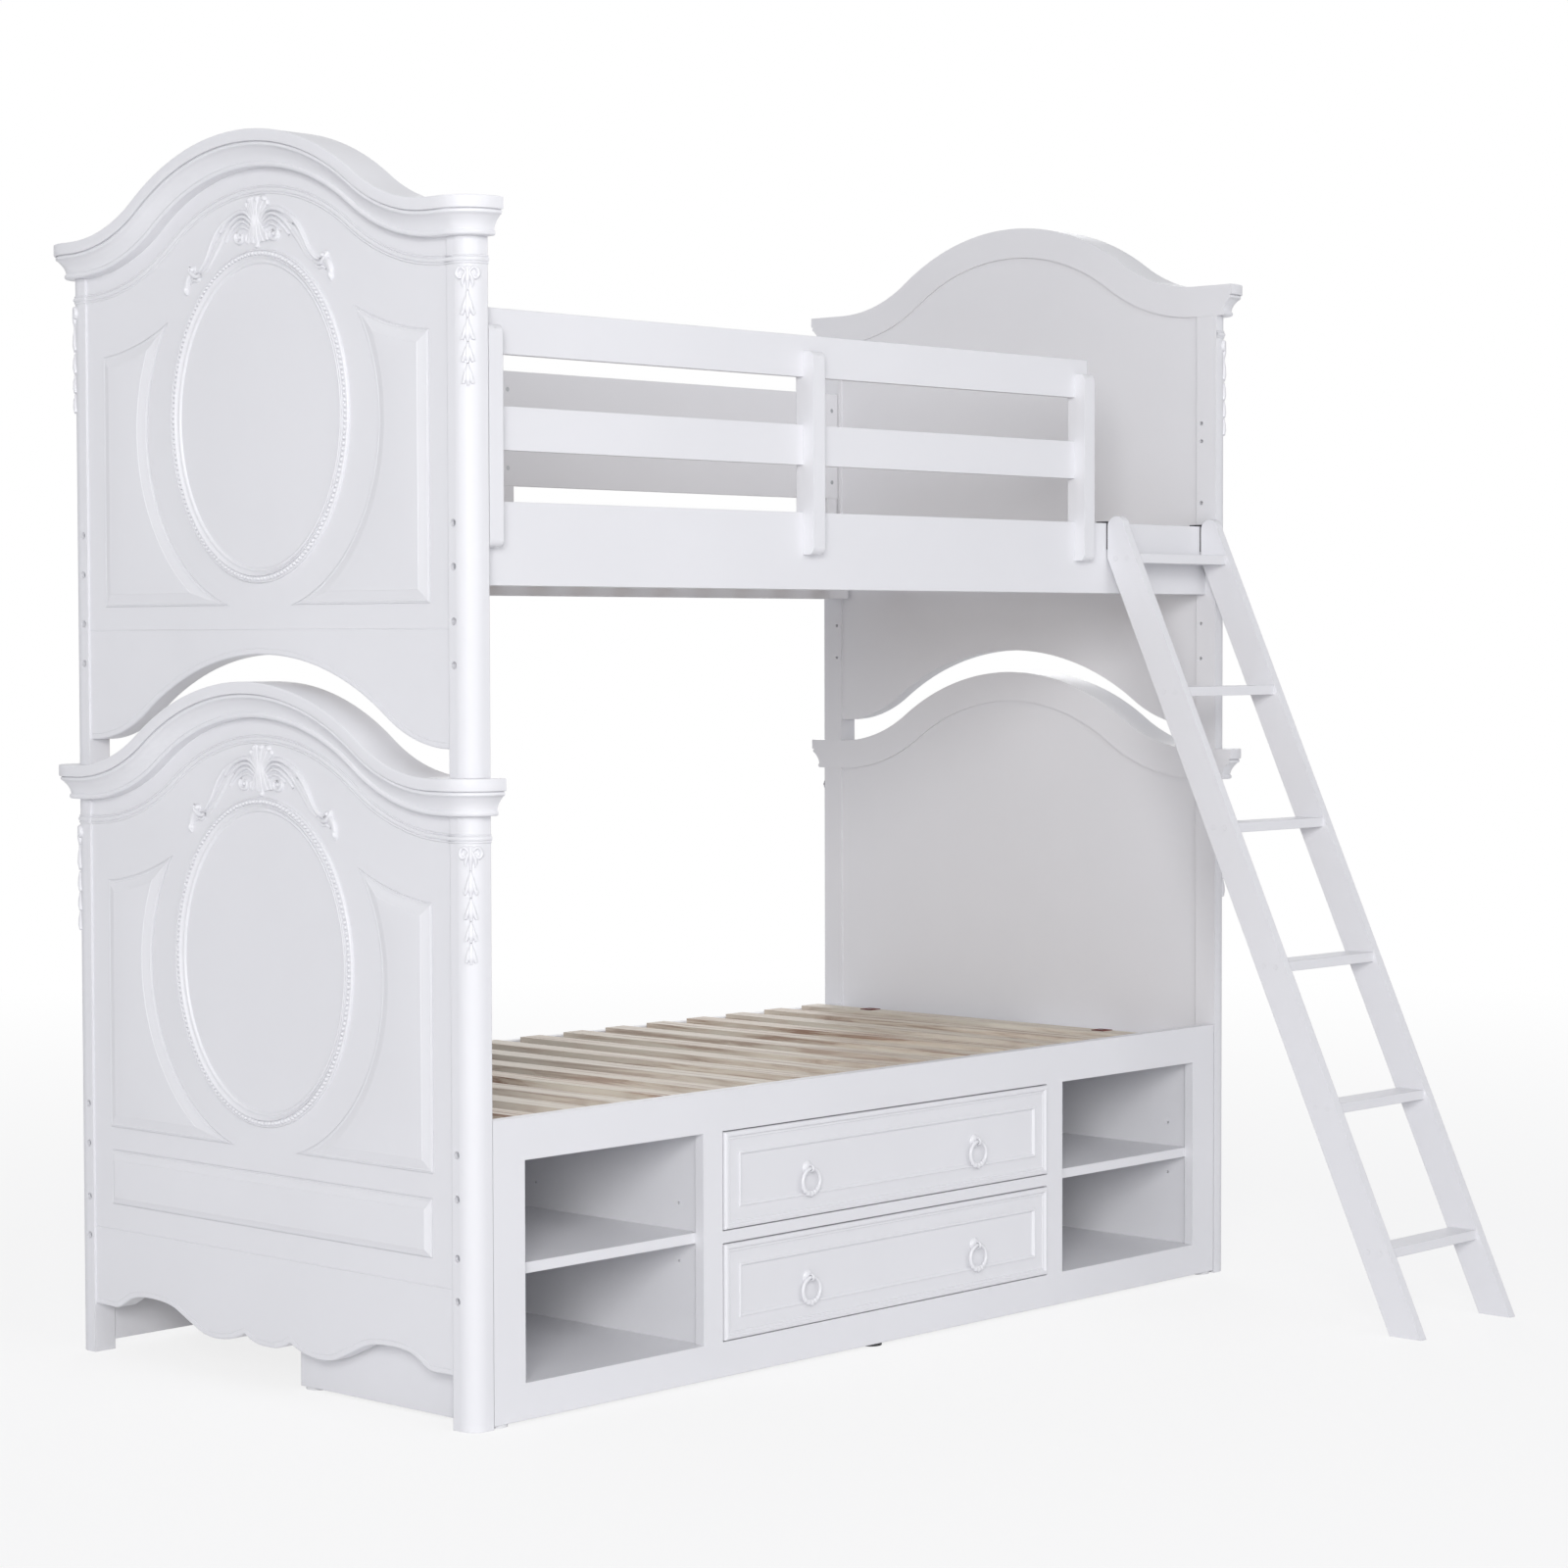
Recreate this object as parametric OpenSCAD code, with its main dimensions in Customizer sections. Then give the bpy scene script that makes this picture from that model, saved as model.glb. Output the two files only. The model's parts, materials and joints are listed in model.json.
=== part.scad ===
// Bunk bed with arched ends, a storage base with two drawers, slatted decks, guard rails
// and a hook-on ladder.
// Millimetres. X runs along the bed, the front is -Y and the floor is z = 0.

/* [Ends] */
// Clear length between the posts
inner_length = 1940; // [1900:2000]
// Width over the outer faces of the posts
frame_width = 1044; // [1000:1120]
// Size of a post along the bed
post_x = 44; // [36:60]
// Size of a post across the bed
post_y = 48; // [40:60]
// Radius of the rounded outer corner of a post
post_round = 30; // [10:36]
// Height of the lower crown at its flat tips
lower_tip = 1043.5; // [980:1100]
// Height from the lower crown to the upper crown
level_step = 914.5; // [860:960]
// Height of the arched gap between the lower crown and the upper panel
arch_gap = 45; // [30:60]
// Height of the seam in the lower end above the floor
low_seam_z = 225.5; // [200:250]
// Height of the seam in the upper end above the lower crown's tips
up_seam_rise = 236.5; // [200:260]
// Thickness of an end panel
panel_t = 28; // [18:32]
// How far the panel's outer face lies inside the posts' outer face
panel_set_in = 11; // [4:16]
// Height of the raised fields over the panel's outer face
field_relief = 7; // [4:9]
// Height of a field's border at its outer edge
border_rise = 2; // [1:3]
// Width of the bevelled border of a field
field_border = 24; // [15:30]
// Distance of the curved fields from the posts
field_side = 47; // [35:60]
// Depth of the curved fields' top edge below the crown's top
field_top = 203; // [190:230]
// Depth of the curved fields' bottom below the crown's tips
field_drop = 637.5; // [600:660]
// Half width of the oval that the curved fields end at
field_oval_a = 303; // [285:320]
// Half height of the oval that the curved fields end at
field_oval_b = 312; // [295:330]
// Depth of that oval's middle below the crown's tips
field_oval_drop = 336.5; // [325:350]
// Lower and upper edge of the long field in the lower end
low_field_z = [270, 367]; // [240:380]
// Distance of the long field from the posts
low_field_side = 51; // [35:60]
// Width of the long field's border below and beside it, and above it
low_field_border = [14, 20]; // [10:24]

/* [Crowns] */
// Rise of a crown from its tips to its middle
crown_rise = 150; // [100:180]
// Length of a crown's flat tip between its hollow shoulder and the post's inner face
crown_flat = 4.75; // [2:30]
// Radius of a crown's convex middle as a share of its two radii together
convex_share = 0.618; // [0.5:0.01:0.7]
// How far the crown stands out past the posts
crown_over = 37; // [25:45]
// Height of the square-edged top board of a crown
fascia_h = 20; // [15:30]
// Height of the bead under the top board
bead_h = 8; // [5:12]
// How far the bead lies back from the top board
bead_in = 4; // [2:8]
// Height of the hollow moulding under the bead
cove_h = 32; // [20:40]
// How far the upper half of the hollow lies back from the top board
cove_in = 11; // [8:16]
// How far the lower half of the hollow stands out past the posts
base_over = 18; // [10:24]
// Depth below the crown's top at which the neck moulding starts
neck_from = 89; // [75:100]
// Height of the neck moulding
neck_h = 15; // [8:20]
// How far the neck moulding stands out
neck_over = 4; // [2:8]

/* [Oval and onlays] */
// Half width of the oval frame
oval_a = 233; // [200:260]
// Half height of the oval frame
oval_b = 278; // [240:300]
// Width of the oval frame at its sides
oval_rim = 28; // [15:40]
// Width of the oval frame at its top as a share of its width at the sides
oval_rim_top = 0.86; // [0.6:0.05:1]
// Height of the oval's middle on the lower end
oval_z = 721.5; // [680:760]
// How far the oval frame stands out of the panel
oval_out = 9; // [5:14]
// How far the carved onlay stands out of the panel
onlay_out = 9; // [5:14]
// Half width of the carved onlay
onlay_half = 197; // [170:210]
// Number of bells in a post drop
drop_bells = 9; // [5:12]
// Length of a post drop
drop_len = 188; // [140:220]

/* [Side rails, slats and guards] */
// Height of the underside of the upper side rails above the lower crown's tips
rail_rise = 305.5; // [280:330]
// Height of a side rail
rail_h = 134; // [110:160]
// Thickness of a side rail
rail_t = 22; // [18:30]
// How far the rail's outer face lies inside the posts' outer face
rail_set_in = 25; // [15:35]
// Size of a slat cleat across and upwards
cleat = 26; // [18:35]
// Number of slats in a deck
slat_count = 16; // [12:20]
// Distance of the first and of the last slat's middle from the posts
slat_ends = [74, 102]; // [60:110]
// Width of a slat
slat_w = 52; // [40:70]
// Thickness of a slat
slat_t = 15; // [12:20]
// Width of a webbing strap
strap_w = 30; // [20:40]
// Thickness of a webbing strap
strap_t = 1.5; // [1:2]
// Distance of a webbing strap from the bed's middle
strap_y = 310; // [250:350]
// Thickness of a guard board
guard_t = 16; // [12:22]
// Underside of the lower and of the upper guard board above the side rail
guard_rise = [82, 235]; // [70:250]
// Height of the lower and of the upper guard board
guard_h = [70, 72]; // [50:90]
// Width of the ladder's entrance between the front guard boards and the right posts
guard_gap = 379; // [330:450]
// Width of a guard batten
batten_w = 30; // [25:45]
// Thickness of a guard batten
batten_t = 25; // [18:30]
// Lower and upper end of a guard batten above the side rail's underside
batten_rise = [60, 413]; // [50:430]
// Distance of the leftmost front batten's middle from the left posts
batten_first = 17; // [15:30]
// Distance of the rightmost front batten's middle from the boards' right end
batten_last = 24; // [15:40]

/* [Storage base] */
// Depth of the storage base
base_depth = 481; // [400:520]
// Height of the top of the storage base's front
base_top = 496; // [450:520]
// Height of a floor glide
glide_h = 5; // [3:8]
// Radius of a floor glide
glide_r = 20; // [10:25]
// Height of the top of the bottom rail
bottom_rail_top = 65; // [55:80]
// Height of the top rail of the face frame
top_rail_h = 70; // [60:80]
// Thickness of the face frame
face_t = 20; // [18:25]
// Thickness of the base's boards
board_t = 18; // [15:22]
// Height of the deck board's underside above the top rail's
deck_lift = 16; // [10:30]
// Width of the face frame's outer stiles
outer_stile = 69; // [60:80]
// Width of the stiles between the drawers and the shelf bays
inner_stile = 47; // [42:60]
// Width of a shelf bay
bay_w = 412; // [360:440]
// How far the bay walls lie behind the edges of the face frame
bay_lip = 7; // [0:12]
// How much higher the upper drawer's opening is than the lower one's
drawer_step = 2; // [0:6]
// Height of the rail between the drawers
mid_rail_h = 21; // [18:30]
// Gap around a drawer front
drawer_gap = 2; // [1:3]
// How far a drawer front stands out of the face frame
drawer_proud = 6; // [0:10]
// Width of the moulded frame of a drawer front
drawer_frame = 45; // [30:55]
// Depth of a drawer box
box_depth = 410; // [350:430]
// Height of a drawer box
box_h = 105; // [80:130]
// Thickness of a drawer box's sides
box_t = 12; // [10:16]
// Distance of a ring pull from the end of the drawer's opening
pull_in = 213; // [180:240]
// Radius of a ring pull's middle line
ring_r = 22; // [16:26]
// Radius of a ring pull's rod
ring_rod = 3.2; // [2.5:4]
// Distance of the back support panel's underside from the floor
back_z = 17.5; // [10:40]

/* [Ladder] */
// Width of the ladder over its rails
ladder_w = 318; // [300:360]
// Gap between the ladder and the right posts
ladder_side = 2; // [1:20]
// Thickness of a ladder rail
ladder_t = 18; // [16:25]
// Front-to-back size of a ladder rail
ladder_d = 66.5; // [55:80]
// How far the ladder's front foot stands in front of the posts
ladder_reach = 690; // [600:750]
// Lean of the ladder from upright
ladder_lean = 24.5; // [15:30]
// Height of the top of the lowest step
step_z0 = 156; // [140:180]
// Depth of the top step below the side rail's top
top_step_drop = 58.5; // [40:80]
// Number of steps
step_count = 6; // [4:7]
// Thickness of a step
step_t = 18; // [16:25]
// How far the ladder's rounded head rises past the side rail's top
ladder_head = 13; // [8:30]
// Width of a hook strip
hook_w = 16; // [12:18]
// Thickness of a hook strip
hook_t = 3; // [2:4]
// Length of a hook strip inside the side rail
hook_drop = 25; // [15:40]
// Length of a hook strip down the back of a ladder rail
hook_tail = 50; // [30:70]

/* [Hidden] */
$fn = 48;
small_fn = 16;
big_fn = 144;

x_in = inner_length / 2;
x_out = x_in + post_x;
y_out = frame_width / 2;
y_in = y_out - post_y;
upper_tip = lower_tip + level_step;
crown_h = fascia_h + bead_h + cove_h;
panel_out = x_out - panel_set_in;
panel_in = panel_out - panel_t;
// Distance of the crown's flat tips from the bed's middle line, and the two radii that reach them
turn_y = y_in - crown_flat;
crown_radii = (turn_y * turn_y + crown_rise * crown_rise) / (2 * crown_rise);
crown_convex = convex_share * crown_radii;
crown_hollow = crown_radii - crown_convex;
turn_angle = asin(turn_y / crown_radii);
rail_z = lower_tip + rail_rise;
rail_top = rail_z + rail_h;
rail_face = y_out - rail_set_in;
oval_drop = lower_tip - oval_z;
up_seam_z = lower_tip + up_seam_rise;
ladder_foot = y_out + ladder_reach;
// The part's origin is the middle of its box: the ladder's foot is the front, the crowns the back
front_reach = ladder_foot;
back_reach = y_out + crown_over;
y_shift = (front_reach - back_reach) / 2;
tiny = 0.01;
past = 10;
field_root = 6;
joint_clear = 1.5;
flat_clear = 0.03;
white = [0.93, 0.93, 0.95];
pine = [0.80, 0.69, 0.54];
webbing_red = [0.42, 0.12, 0.10];
steel = [0.62, 0.62, 0.64];
dark = [0.18, 0.18, 0.19];

// Stacked layers of the crown: upper depth, lower depth and how far the layer stands out
cove_from = fascia_h + bead_h;
cove_mid = cove_from + cove_h / 2;
crown_layers = [
    [0, fascia_h, crown_over],
    [fascia_h, cove_from, crown_over - bead_in],
    [cove_from, cove_mid, crown_over - cove_in],
    [cove_mid, crown_h, base_over]
];

bolt_y = rail_face - rail_t / 2;
bolt_r = 3;
bolt_head_r = 5.7;
bolt_head_h = 5;
bolt_sink = 11;
bolt_hole_r = 3.15;
bolt_sink_r = 6;
rail_bolt_z = [rail_z + 29, rail_z + 98];
spare_bolt_z = [rail_z - 127, rail_z - 57.5];
base_bolt_z = [208, 277, 372, 442.5];
guard_hole_z = [rail_z + 181, rail_z + 303, rail_z + 338];
guard_hole_r = 4;
guard_hole_d = 15;
barrel_r = 5;
barrel_x = x_in - 22;
barrel_l = 16;
bolt_end = x_in - 32;
insert_l = 10;

pin_r = 5;
pin_fit = 0.1;
pin_up = 40;
pin_down = 40;
pin_x = x_in + post_x / 2 - 4;
pin_y = y_in + post_y / 2 - 4;

base_half = x_in - 2;
base_front = y_out - 1;
base_back = base_front - base_depth;
box_front = base_front - face_t;
top_rail_z = base_top - top_rail_h;
mid_rail_z = (bottom_rail_top + top_rail_z - mid_rail_h - drawer_step) / 2;
deck_z = top_rail_z + deck_lift;
bay_out = base_half - outer_stile;
bay_in = bay_out - bay_w;
drawer_half = bay_in - inner_stile;
pull_x = drawer_half - pull_in;
slat_z_lower = deck_z + board_t + strap_t;
slat_z_upper = rail_z + cleat;
slat_front = box_front - 2;
slat_first = -x_in + slat_ends[0];
slat_pitch = (x_in - slat_ends[1] - slat_first) / (slat_count - 1);

drawer_z = [[bottom_rail_top, mid_rail_z], [mid_rail_z + mid_rail_h, top_rail_z]];
front_t = 20;
runner_t = 12.7;
runner_h = 45;
runner_air = 0.4;
box_half = drawer_half - runner_t - runner_air;
bottom_t = 6;
plate_r = 11;
plate_t = 2;
pivot_out = 4;
lug_half = 3;
lug_h = 7;
lug_bore = 4.1;

ladder_x = [x_in - ladder_side - ladder_w, x_in - ladder_side - ladder_t];
ladder_top = rail_top + ladder_head;
step_pitch = (rail_top - top_step_drop - step_z0) / (step_count - 1);
slope = tan(ladder_lean);
ladder_gap = 0.3;
ladder_back = rail_face + hook_t + ladder_gap;
head_r = 20;
screw_r = 2.5;
screw_l = 38;
screw_head_r = 4.5;
screw_head_h = 3;
rail_screw_z = rail_top - 15;
pin_peg_r = 2.5;
peg_z = [205, 238, 304];
peg_y = [box_front - 46, base_back + 60];

guard_end = x_in - guard_gap;
guard_z = [for (rise = guard_rise) rail_top + rise];
batten_z = [for (rise = batten_rise) rail_z + rise];
batten_x0 = -x_in + batten_first;
batten_pitch = (guard_end - batten_last - batten_x0) / 2;

// Middles of the guard battens: the front set and the back set
front_battens = [for (i = [0:2]) batten_x0 + i * batten_pitch];
back_battens = [-x_in + 20, 0, x_in - 20];

// ---- helpers ----

module both_x() {
    children();
    mirror([1, 0, 0]) children();
}

module both_y() {
    children();
    mirror([0, 1, 0]) children();
}

// Moves the finished piece so that the part's box is centred in plan
module seat(c) {
    color(c) translate([0, y_shift, 0]) children();
}

// Extrudes an outline drawn in Y and Z along X, from x0 to x1
module along_x(x0, x1) {
    translate([x0, 0, 0]) rotate([90, 0, 90]) linear_extrude(x1 - x0) children();
}

module box(a, b) {
    translate(a) cube(b - a);
}

module rod_x(x0, x1, y, z, r, n = small_fn) {
    translate([x0, y, z]) rotate([0, 90, 0]) cylinder(r = r, h = x1 - x0, $fn = n);
}

module rod_y(y0, y1, x, z, r, n = small_fn) {
    translate([x, y0, z]) rotate([-90, 0, 0]) cylinder(r = r, h = y1 - y0, $fn = n);
}

// Outline below the serpentine top of a crown, moved down by d, for tips at height tip.
// The straight-sided core stays clear of the two places where the arcs touch.
module below_crown(tip, d, bottom, half) {
    convex = crown_convex - d;
    joint_y = (convex - joint_clear) * sin(turn_angle);
    joint_z = tip + crown_rise - crown_convex + (convex - joint_clear) * cos(turn_angle);
    difference() {
        union() {
            polygon([
                [-half, bottom], [half, bottom], [half, tip - d], [turn_y, tip - d],
                [joint_y, joint_z], [-joint_y, joint_z], [-turn_y, tip - d], [-half, tip - d]
            ]);
            intersection() {
                translate([0, tip + crown_rise - crown_convex]) circle(r = convex, $fn = big_fn);
                translate([-convex, joint_z - past]) square([2 * convex, convex]);
            }
        }
        for (s = [-1, 1])
            translate([s * turn_y, tip + crown_hollow + flat_clear])
                circle(r = crown_hollow + d, $fn = big_fn);
    }
}

// Band between two depths below the crown's top
module crown_band(tip, d0, d1, half) {
    difference() {
        below_crown(tip, d0, tip - 2 * crown_h - neck_from, half);
        below_crown(tip, d1, tip - 2 * crown_h - neck_from - 1, half + 1);
    }
}

// Plan of the crown on the +X end: flush inside, rounded at its outer corners
module crown_plan(over) {
    r = post_round + over;
    union() {
        translate([x_in, -y_out - over + r]) square([post_x + over, 2 * (y_out + over - r)]);
        translate([x_in, -y_out - over]) square([post_x + over - r, 2 * (y_out + over)]);
        intersection() {
            for (s = [-1, 1])
                translate([x_out + over - r, s * (y_out + over - r)]) circle(r = r);
            translate([x_in, -y_out - over]) square([post_x + over, 2 * (y_out + over)]);
        }
    }
}

// Plan of the +X +Y post, grown outwards by g on its outer faces
module post_plan(g = 0) {
    intersection() {
        translate([x_in, y_in]) square([post_x + g, post_y + g]);
        union() {
            translate([x_in, y_in]) square([post_x - post_round, post_y + g]);
            translate([x_in, y_in]) square([post_x + g, post_y - post_round]);
            translate([x_out - post_round, y_out - post_round]) circle(r = post_round + g);
        }
    }
}

// ---- ends, drawn for the +X end and mirrored for the -X end ----

module bolt_holes(heights) {
    for (z = heights) {
        rod_x(x_in - 1, x_out + 1, bolt_y, z, bolt_hole_r);
        rod_x(x_out - bolt_sink, x_out + 1, bolt_y, z, bolt_sink_r, 24);
    }
}

module lower_post() {
    difference() {
        linear_extrude(lower_tip - crown_h) post_plan();
        bolt_holes(base_bolt_z);
        pin_holes();
    }
}

module upper_post() {
    difference() {
        translate([0, 0, lower_tip]) linear_extrude(level_step - crown_h) post_plan();
        bolt_holes(concat(rail_bolt_z, spare_bolt_z));
        for (z = guard_hole_z)
            rod_x(x_in - 1, x_in + guard_hole_d, bolt_y, z, guard_hole_r);
        pin_holes();
    }
}

module pin_holes() {
    translate([pin_x, pin_y, lower_tip - crown_h - pin_down])
        cylinder(r = pin_r + pin_fit, h = crown_h + pin_down + pin_up);
}

module crown(tip) {
    for (layer = crown_layers)
        intersection() {
            along_x(x_in - past, x_out + crown_over + past)
                crown_band(tip, layer[0], layer[1], y_out + crown_over + past);
            translate([0, 0, tip - crown_h - crown_rise])
                linear_extrude(2 * crown_rise + 2 * crown_h) crown_plan(layer[2]);
        }
}

module lower_crown() {
    difference() {
        crown(lower_tip);
        both_y() pin_holes();
    }
}

// Outline of the two curved fields beside the oval
module field_outline(tip, inset) {
    half = y_in - field_side - inset;
    bottom = tip - field_drop + inset;
    gap = field_oval_a / 4 + inset;
    for (s = [-1, 1])
        difference() {
            translate([s > 0 ? gap : -half, bottom]) square([half - gap, tip - field_top / 2 - bottom]);
            translate([s * turn_y, tip + crown_hollow + flat_clear])
                circle(r = crown_hollow + field_top + inset, $fn = big_fn);
            translate([0, tip - field_oval_drop]) scale([field_oval_a / field_oval_b, 1])
                circle(r = field_oval_b + inset, $fn = big_fn);
        }
}

// A field's two steps reach into the panel to different depths, so that no faces coincide
module raised_fields(tip) {
    along_x(panel_out - field_root, panel_out + border_rise) field_outline(tip, 0);
    along_x(panel_out - field_root / 2, panel_out + field_relief) field_outline(tip, field_border);
}

module seam_groove(z) {
    box([panel_out - 1.5, -y_in - 1, z - 1.5], [panel_out + 1, y_in + 1, z + 1.5]);
}

// Lower edge of the lower end panel: a shallow arch at each side and three lobes
apron_outer = [[416, 86], [398, 93], [372, 107], [337, 113], [289, 112], [255, 106], [227, 94], [200, 82],
    [172, 71], [140, 67], [106, 70], [79, 77], [60, 85.5]];
apron_middle = [[60, 85.5], [44, 77], [22, 71.5], [0, 70.5]];
apron_lip = 86;
// Half width that the apron's curve is drawn for
apron_half = 474;

function blend_at(a, b, c, d, t) =
    0.5 * (2 * b + (c - a) * t + (2 * a - 5 * b + 4 * c - d) * t * t + (3 * b - a - 3 * c + d) * t * t * t);

function smooth(p, n) = [
    for (i = [0:len(p) - 2])
        for (k = [0:n - 1])
            blend_at(p[max(i - 1, 0)], p[i], p[i + 1], p[min(i + 2, len(p) - 1)], k / n)
];

function flip(p) = [for (i = [len(p) - 1:-1:0]) [-p[i][0], p[i][1]]];

module apron_cut() {
    half_edge = concat(smooth(apron_outer, 4), smooth(apron_middle, 4));
    scale([y_in / apron_half, 1]) polygon(concat(
        [[apron_half + 1, -1], [apron_half + 1, apron_lip]],
        half_edge,
        [[0, apron_middle[3][1]]],
        flip(half_edge),
        [[-apron_half - 1, apron_lip], [-apron_half - 1, -1]]
    ));
}

module low_field(below, above) {
    half = y_in - low_field_side - below;
    translate([-half, low_field_z[0] + below])
        square([2 * half, low_field_z[1] - low_field_z[0] - below - above]);
}

module lower_panel() {
    difference() {
        along_x(panel_in, panel_out) difference() {
            below_crown(lower_tip, crown_h, 0, y_in);
            apron_cut();
        }
        seam_groove(low_seam_z);
    }
    raised_fields(lower_tip);
    along_x(panel_out - field_root, panel_out + border_rise) low_field(0, 0);
    along_x(panel_out - field_root / 2, panel_out + field_relief)
        low_field(low_field_border[0], low_field_border[1]);
}

module upper_panel() {
    difference() {
        along_x(panel_in, panel_out) difference() {
            below_crown(upper_tip, crown_h, lower_tip, y_in);
            below_crown(lower_tip, -arch_gap, lower_tip - 1, y_in + 1);
        }
        seam_groove(up_seam_z);
    }
    raised_fields(upper_tip);
}

module neck_moulding(tip) {
    intersection() {
        along_x(x_in, x_out + neck_over) crown_band(tip, neck_from, neck_from + neck_h, y_out + neck_over);
        translate([0, 0, tip - neck_from - 2 * neck_h])
            linear_extrude(crown_rise + 3 * neck_h) difference() {
                union() {
                    both_y2() post_plan(neck_over);
                    translate([panel_out, -y_in - tiny]) square([neck_over, 2 * y_in + 2 * tiny]);
                }
                both_y2() post_plan();
            }
    }
}

module both_y2() {
    children();
    mirror([0, 1]) children();
}

module oval_outline(tip, rim) {
    translate([0, tip - oval_drop])
        scale([(oval_a - rim) / (oval_b - rim * oval_rim_top), 1])
            circle(r = oval_b - rim * oval_rim_top, $fn = big_fn);
}

module oval_frame(tip) {
    along_x(panel_out, panel_out + oval_out) difference() {
        oval_outline(tip, 0);
        oval_outline(tip, oval_rim);
    }
}

// Shell crest with a scroll and an end leaf to each side, over the oval: offsets from the crown's tips
crest_edge = [[-1, 44.5], [14, 44], [26, 39], [29, 28], [20, 22], [11, 8], [13, -6], [24, -11], [36, -15],
    [42, -24], [35, -33], [20, -34], [8, -40], [-1, -42]];
scroll_top = [[12, 14], [24, 22], [45, 23], [70, 17], [93, 3.5], [111.5, -13.5], [124.6, -31], [136.5, -49.5],
    [150, -64]];
scroll_bottom = [
    [146, -76], [127, -64], [114, -49.5], [98.5, -34],
    [79, -25], [58, -14], [36, -17], [18, -8]
];
leaf_edge = [[142, -68], [156, -61], [172, -60], [186, -66], [194, -82], [197, -97], [192, -110], [184, -104],
    [180, -92], [170, -85], [155, -85], [144, -78]];
carved_half = 197;

module carved_onlay(tip) {
    along_x(panel_out, panel_out + onlay_out) difference() {
        for (s = [-1, 1])
            translate([0, tip]) scale([s * onlay_half / carved_half, 1]) {
                polygon(concat(smooth(crest_edge, 2), [crest_edge[len(crest_edge) - 1]]));
                polygon(concat(smooth(scroll_top, 2), smooth(scroll_bottom, 2)));
                polygon(smooth(concat(leaf_edge, [leaf_edge[0]]), 2));
            }
        oval_outline(tip, 0);
    }
}

// Chain of bells that hangs down the rounded corner of a post
module post_drop(tip) {
    corner = post_round * cos(45);
    drop_from = neck_from + neck_h + 10;
    difference() {
        for (i = [0:drop_bells - 1])
            translate([x_out - post_round + corner, y_out - post_round + corner,
                       tip - drop_from - drop_len * i / (drop_bells - 1)])
                sphere(r = 9 - 4.5 * i / (drop_bells - 1), $fn = 20);
        translate([0, 0, tip - 2 * drop_len - neck_from]) linear_extrude(3 * drop_len) post_plan();
    }
}

module stacking_pin() {
    translate([pin_x, pin_y, lower_tip - crown_h - pin_down])
        cylinder(r = pin_r, h = crown_h + pin_down + pin_up - 1);
}

// ---- rails, slats and guards ----

module side_rail() {
    difference() {
        box([-x_in, rail_face - rail_t, rail_z], [x_in, rail_face, rail_top]);
        both_x() for (z = rail_bolt_z) {
            rod_x(bolt_end - 1, x_in + 1, bolt_y, z, bolt_hole_r);
            barrel_bore(z, barrel_r);
        }
    }
}

module barrel_bore(z, r) {
    rod_y(rail_face - rail_t - 1, rail_face - rail_t + barrel_l, barrel_x, z, r + 0.05);
}

module back_panel() {
    difference() {
        box([-x_in, rail_face - rail_t, back_z], [x_in, rail_face, deck_z + board_t + 10]);
        both_x() for (z = base_bolt_z) {
            rod_x(bolt_end - 1, x_in + 1, bolt_y, z, bolt_hole_r);
            barrel_bore(z, barrel_r);
        }
    }
}

module cleats() {
    rail_in = rail_face - rail_t;
    both_y() box([-x_in + 4, rail_in - cleat, rail_z], [x_in - 4, rail_in, rail_z + cleat]);
    box([-x_in + 4, rail_in - cleat, slat_z_lower - cleat], [x_in - 4, rail_in, slat_z_lower]);
}

module slats(z, y0, y1) {
    for (i = [0:slat_count - 1])
        box([slat_first + i * slat_pitch - slat_w / 2, y0, z],
            [slat_first + i * slat_pitch + slat_w / 2, y1, z + slat_t]);
}

module webbing() {
    strap_end = x_in - 20;
    for (z = [slat_z_lower, slat_z_upper])
        for (s = [-1, 1])
            box([-strap_end, s * strap_y - strap_w / 2, z - strap_t],
                [strap_end, s * strap_y + strap_w / 2, z]);
}

// Hole for a guard screw that goes outwards from the inner face of a board of thickness t
module screw_hole(x, z, t) {
    inner = rail_face - t;
    rod_y(inner - 1, rail_face + screw_l - t + 1, x, z, screw_r + 0.05);
    rod_y(inner - 1, inner + screw_head_h, x, z, screw_head_r + 0.05);
}

module guard_screw(x, z, t) {
    inner = rail_face - t;
    rod_y(inner, inner + screw_l - 2, x, z, screw_r);
    rod_y(inner, inner + screw_head_h, x, z, screw_head_r);
}

function guard_mid(i) = guard_z[i] + guard_h[i] / 2;

module guard_holes(xs) {
    for (x = xs) {
        for (i = [0:1])
            screw_hole(x, guard_mid(i), guard_t);
        screw_hole(x, rail_screw_z, rail_t);
    }
}

// Guard boards on the +Y side from x0 to x1
module guard_boards(x0, x1, xs) {
    difference() {
        for (i = [0:1])
            box([x0, rail_face - guard_t, guard_z[i]], [x1, rail_face, guard_z[i] + guard_h[i]]);
        guard_holes(xs);
    }
}

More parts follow.
